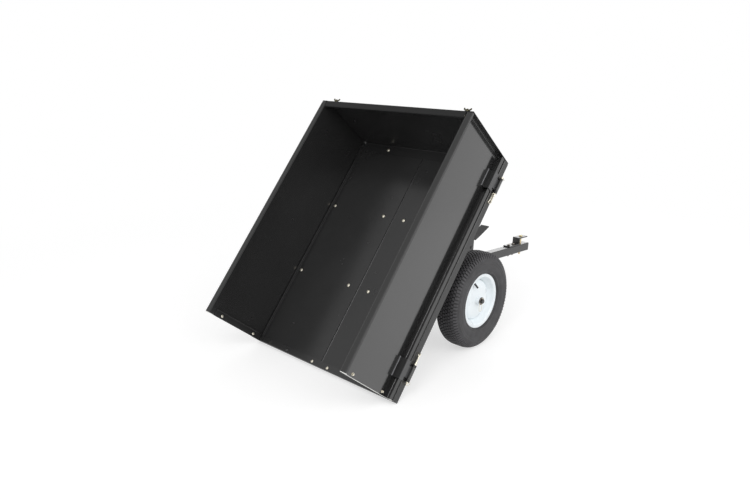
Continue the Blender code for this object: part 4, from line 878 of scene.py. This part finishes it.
def build_rim(side_name, side):
    """A pressed rim with rolled edges, its dished disc and the hub tube."""
    bm = bmesh.new()
    matrix = wheel_frame(side)
    rise, run = WELL_SLOPE
    barrel = mirrored([(RIM_FLANGE - 0.0008, RIM_HALF - 0.0004), (BEAD_RADIUS + 0.0035, RIM_HALF),
                       (BEAD_RADIUS, RIM_HALF - 0.0045), (WELL_RADIUS + rise, WELL_HALF + run),
                       (WELL_RADIUS, WELL_HALF)])
    lathe(bm, section(rounded(barrel, 0.0035), RIM_SHEET), matrix, 128, closed=True)
    for way in (-1, 1):
        edge = round_bead(RIM_FLANGE - 0.0010, way * (RIM_HALF - 0.0006), 0.0016, 10)
        lathe(bm, edge, matrix, 128, closed=True)
    disc = rounded([(HUB_RADIUS - 0.0005, DISC_FACE), (0.0580, DISC_FACE), (0.0680, DISC_FACE - 0.0019),
                    (0.0760, DISC_FACE - 0.0057), (0.0820, DISC_FACE - 0.0095),
                    (WELL_RADIUS - 0.0011, 0.0050), (WELL_RADIUS - 0.0011, -0.0030)], 0.006)
    lathe(bm, section(disc, RIM_SHEET), matrix, 128, closed=True)
    hub = [(HUB_BORE, -HUB_HALF), (HUB_RADIUS - 0.0006, -HUB_HALF), (HUB_RADIUS, -HUB_HALF + 0.0006)]
    lathe(bm, mirrored(hub), matrix, 64, closed=True)
    weld = [(HUB_RADIUS - 0.0004, DISC_FACE + 0.0008), (HUB_RADIUS + 0.0022, DISC_FACE + 0.0008),
            (HUB_RADIUS + 0.0009, DISC_FACE + 0.0026), (HUB_RADIUS - 0.0004, DISC_FACE + 0.0040)]
    lathe(bm, weld, matrix, 64, closed=True)
    add_piece(bm, "rim_pressed_" + side_name, "white_steel", "wheel_" + side_name, 50.0,
              ("rim_" + side_name,))


def build_valve(side_name, side):
    """A rubber valve stem on the rim's slope, with a flared foot, two ribs and a screwed cap."""
    rise, run = WELL_SLOPE
    outward = Vector((-math.sin(VALVE_ANGLE), 0.0, math.cos(VALVE_ANGLE)))
    along = Vector((0.0, side, 0.0))
    place = (AXLE + outward * (WELL_RADIUS + rise * VALVE_UP)
             + along * (WHEEL_FROM_MIDDLE + WELL_HALF + run * VALVE_UP))
    aim = along * rise - outward * run
    profile = [(0.0, -0.0040), (0.0052, -0.0040), (0.0062, -0.0034), (0.0062, -0.0018), (0.0043, -0.0010),
               (0.0043, 0.0010), (0.0060, 0.0013), (0.0058, 0.0034), (0.0044, 0.0070), (0.0040, 0.0150),
               (0.0039, 0.0235), (0.0034, 0.0240), (0.0034, 0.0246), (0.0041, 0.0250), (0.0041, 0.0318),
               (0.0037, 0.0329), (0.0, 0.0330)]
    bm = bmesh.new()
    lathe(bm, profile, axis_frame(place, aim.normalized()), 32)
    add_piece(bm, "valve_stem_" + side_name, "valve_rubber", "wheel_" + side_name, 32.0,
              ("valve_" + side_name,))


def build_axle_end(side_name, side):
    """A washer against the hub and the looped wire clip through the axle."""
    bm = bmesh.new()
    matrix = Matrix.Translation((AXLE.x, side * CLIP_Y, AXLE.z)) @ Matrix.Rotation(SLOPE, 4, "Y")
    line = [Vector((0.0, 0.0, 0.0150)), Vector((0.0, 0.0, 0.0))]
    for index in range(11):
        angle = math.radians(-18 * index)
        line.append(Vector((CLIP_LOOP * (math.cos(angle) - 1.0), 0.0002 * index,
                            CLIP_LOOP * math.sin(angle) - CLIP_HANG)))
    line += [Vector((-0.0160, 0.0024, -0.0150)), Vector((-0.0135, 0.0028, -0.0090)),
             Vector((-0.0150, 0.0030, -0.0050))]
    wire(bm, [matrix @ point for point in curve_through(line, 4)], 0.0010)
    add_piece(bm, "axle_spring_clip_" + side_name, "yellow_zinc", "chassis",
              replaced=("axle_clip_" + side_name,), finish=ZINC)
    bm = bmesh.new()
    seat = axis_frame((AXLE.x, side * WASHER_SEAT, AXLE.z), (0, side, 0))
    washer(bm, seat, WASHER_RADIUS, AXLE_RADIUS + 0.0004, 0.0020)
    add_piece(bm, "hub_washer_" + side_name, "black_steel", "chassis",
              replaced=("wheel_washer_" + side_name,), finish=DARK_ZINC)


# Hitch and drawbar pieces
def build_jaw_bolts():
    """The jaw's two hexagon bolts, with washers, and their nuts under the drawbar."""
    depth = JAW_SEAT - DRAWBAR_LOW + 0.0010
    for name, x in JAW_BOLTS.items():
        bm = bmesh.new()
        head(bm, BAR @ axis_frame((x, 0.0, JAW_SEAT + GAP), UP, 0.2), JAW_NUT[0], JAW_HEX)
        nut(bm, BAR @ axis_frame((x, 0.0, DRAWBAR_LOW - GAP), DOWN, 0.5), JAW_NUT)
        lathe(bm, [(0.0, 0.0), (0.0038, 0.0), (0.0038, depth), (0.0, depth)],
              BAR @ Matrix.Translation((x, 0.0, DRAWBAR_LOW)), 20)
        add_piece(bm, "jaw_hex_bolt_" + name, "zinc", "chassis", replaced=("jaw_bolt_" + name,),
                  finish=DARK_ZINC)


def build_hitch_pin():
    """The drop pin: a headed rod with a groove and a tapered tip."""
    bm = bmesh.new()
    tip = DRAWBAR_LOW - 0.014 - HITCH_PIN_SEAT
    lathe(bm, [(0.0, 0.0060), (0.0060, 0.0057), (0.0088, 0.0042), (0.0098, 0.0022), (0.0100, 0.0004),
               (0.0060, 0.0), (0.0060, tip + 0.008), (0.0053, tip + 0.0072), (0.0053, tip + 0.0050),
               (0.0060, tip + 0.0042), (0.0060, tip), (0.0034, tip - 0.0036), (0.0, tip - 0.0040)],
          BAR @ Matrix.Translation((HITCH_PIN_X, 0.0, HITCH_PIN_SEAT)), 40)
    add_piece(bm, "hitch_drop_pin", "yellow_zinc", "hitch_pin", replaced=("hitch_pin",))


def build_post_bolts():
    """Two bolts that clamp the latch post across the drawbar."""
    bm = bmesh.new()
    for x in POST_BOLTS_AHEAD:
        right, left = [BAR @ axis_frame((x, side * POST_HALF, POST_BOLT_HEIGHT), (0, side, 0), 0.25)
                       for side in (-1, 1)]
        head(bm, right, POST_NUT[0], POST_HEX)
        nut(bm, left, POST_NUT)
    add_piece(bm, "post_bolts", "black_steel", "chassis")


def build_axle_welds():
    """The rippled weld beads between the drawbar and the axle tube under it."""
    bm = bmesh.new()
    for way in (-1, 1):
        line = [BAR @ Vector((way * (0.0098 + 0.0004 * (index % 2)), -0.0205 + 0.041 * index / 18,
                              0.0118 + 0.0003 * (index % 2))) for index in range(19)]
        wire(bm, line, 0.0022)
    add_piece(bm, "axle_welds", "black_steel", "chassis")


# Stage pieces
def add_seen(tree):
    """One for the camera, a reflection or a view through glass, and nought for light that falls on things."""
    path = tree.nodes.new("ShaderNodeLightPath")
    total = path.outputs["Is Camera Ray"]
    for name in ("Is Glossy Ray", "Is Transmission Ray"):
        total = add_math(tree, "MAXIMUM", total, path.outputs[name])
    return total


def build_world():
    """White surroundings, dimmer overhead, that light the object a little less than they look."""
    world = bpy.data.worlds.new("studio")
    bpy.context.scene.world = world
    world.use_nodes = True
    tree = world.node_tree
    coords = tree.nodes.new("ShaderNodeTexCoord")
    height = add_node(tree, "SeparateXYZ", {0: coords.outputs["Generated"]}).outputs["Z"]
    back = tree.nodes["Background"]
    feed(tree, add_fade(tree, height, *OVERHEAD_FADE), back.inputs["Color"])
    feed(tree, add_fade(tree, add_seen(tree), 0.0, 1.0, WORLD_LIGHT, 1.0), back.inputs["Strength"])


def floor_finish():
    """A white floor with a glow where it is seen, which is plain white far from the object."""
    made = bpy.data.materials.new("studio_floor")
    made.use_nodes = True
    tree = made.node_tree
    tree.nodes.remove(tree.nodes["Principled BSDF"])
    seen = add_seen(tree)
    diffuse = add_node(tree, "BsdfDiffuse", {"Color": add_mix(tree, seen, FLOOR_LIT, FLOOR_SEEN)})
    glow = add_node(tree, "Emission", {"Strength": add_math(tree, "MULTIPLY", seen, FLOOR_GLOW)})
    near = add_node(tree, "AddShader", {0: diffuse.outputs[0], 1: glow.outputs[0]})
    coords = tree.nodes.new("ShaderNodeTexCoord")
    away = add_node(tree, "VectorMath", {0: coords.outputs["Object"]}, operation="LENGTH").outputs["Value"]
    fade = add_fade(tree, away, *FLOOR_FADE, interpolation="SMOOTHSTEP")
    plain = tree.nodes.new("ShaderNodeEmission")
    blend = add_node(tree, "MixShader", {"Fac": add_math(tree, "MULTIPLY", fade, seen), 1: near.outputs[0],
                                         2: plain.outputs[0]})
    feed(tree, blend.outputs[0], tree.nodes["Material Output"].inputs["Surface"])
    return made


def build_floor():
    """A wide floor just under the object, which keeps the object's shadow."""
    bm = bmesh.new()
    bmesh.ops.create_grid(bm, x_segments=1, y_segments=1, size=FLOOR_REACH)
    mesh = bpy.data.meshes.new("studio_floor")
    bm.to_mesh(mesh)
    bm.free()
    mesh.materials.append(floor_finish())
    floor = bpy.data.objects.new("studio_floor", mesh)
    floor.location.z = -FLOOR_DROP
    bpy.context.scene.collection.objects.link(floor)


def build_lights():
    """Round area lamps."""
    for name, (place, target, size, power) in LAMPS.items():
        data = bpy.data.lights.new(name, "AREA")
        data.shape = "DISK"
        data.size = size
        data.energy = power
        lamp = bpy.data.objects.new(name, data)
        lamp.location = place
        lamp.rotation_euler = (Vector(target) - Vector(place)).to_track_quat("-Z", "Y").to_euler()
        bpy.context.scene.collection.objects.link(lamp)


def build_camera():
    """The camera that the photo was matched with."""
    data = bpy.data.cameras.new("camera")
    data.lens = CAMERA_LENS
    data.sensor_width = CAMERA_SENSOR
    camera = bpy.data.objects.new("camera", data)
    camera.location = CAMERA_PLACE
    camera.rotation_euler = CAMERA_TURN
    bpy.context.scene.collection.objects.link(camera)
    bpy.context.scene.camera = camera


# Build
finish_solids()
build_floor_bolts()
build_sill_bolts()
build_jaw_bolts()
build_hitch_pin()
build_post_bolts()
build_axle_welds()
for side_name, side in SIDES.items():
    build_leg_bolts(side_name, side)
    build_front_bolt(side_name, side)
    build_clamp_bolt(side_name, side)
    build_wing_nut(side_name, side)
    build_guide_bolts(side_name, side)
    for end in HINGES:
        build_hinge_pin(end, side_name, side)
        build_bracket_bolts(end, side_name, side)
    build_tyre(side_name, side)
    build_rim(side_name, side)
    build_valve(side_name, side)
    build_axle_end(side_name, side)
build_world()
build_floor()
build_lights()
build_camera()
bpy.context.scene.view_settings.view_transform = "Standard"

bpy.context.view_layer.update()
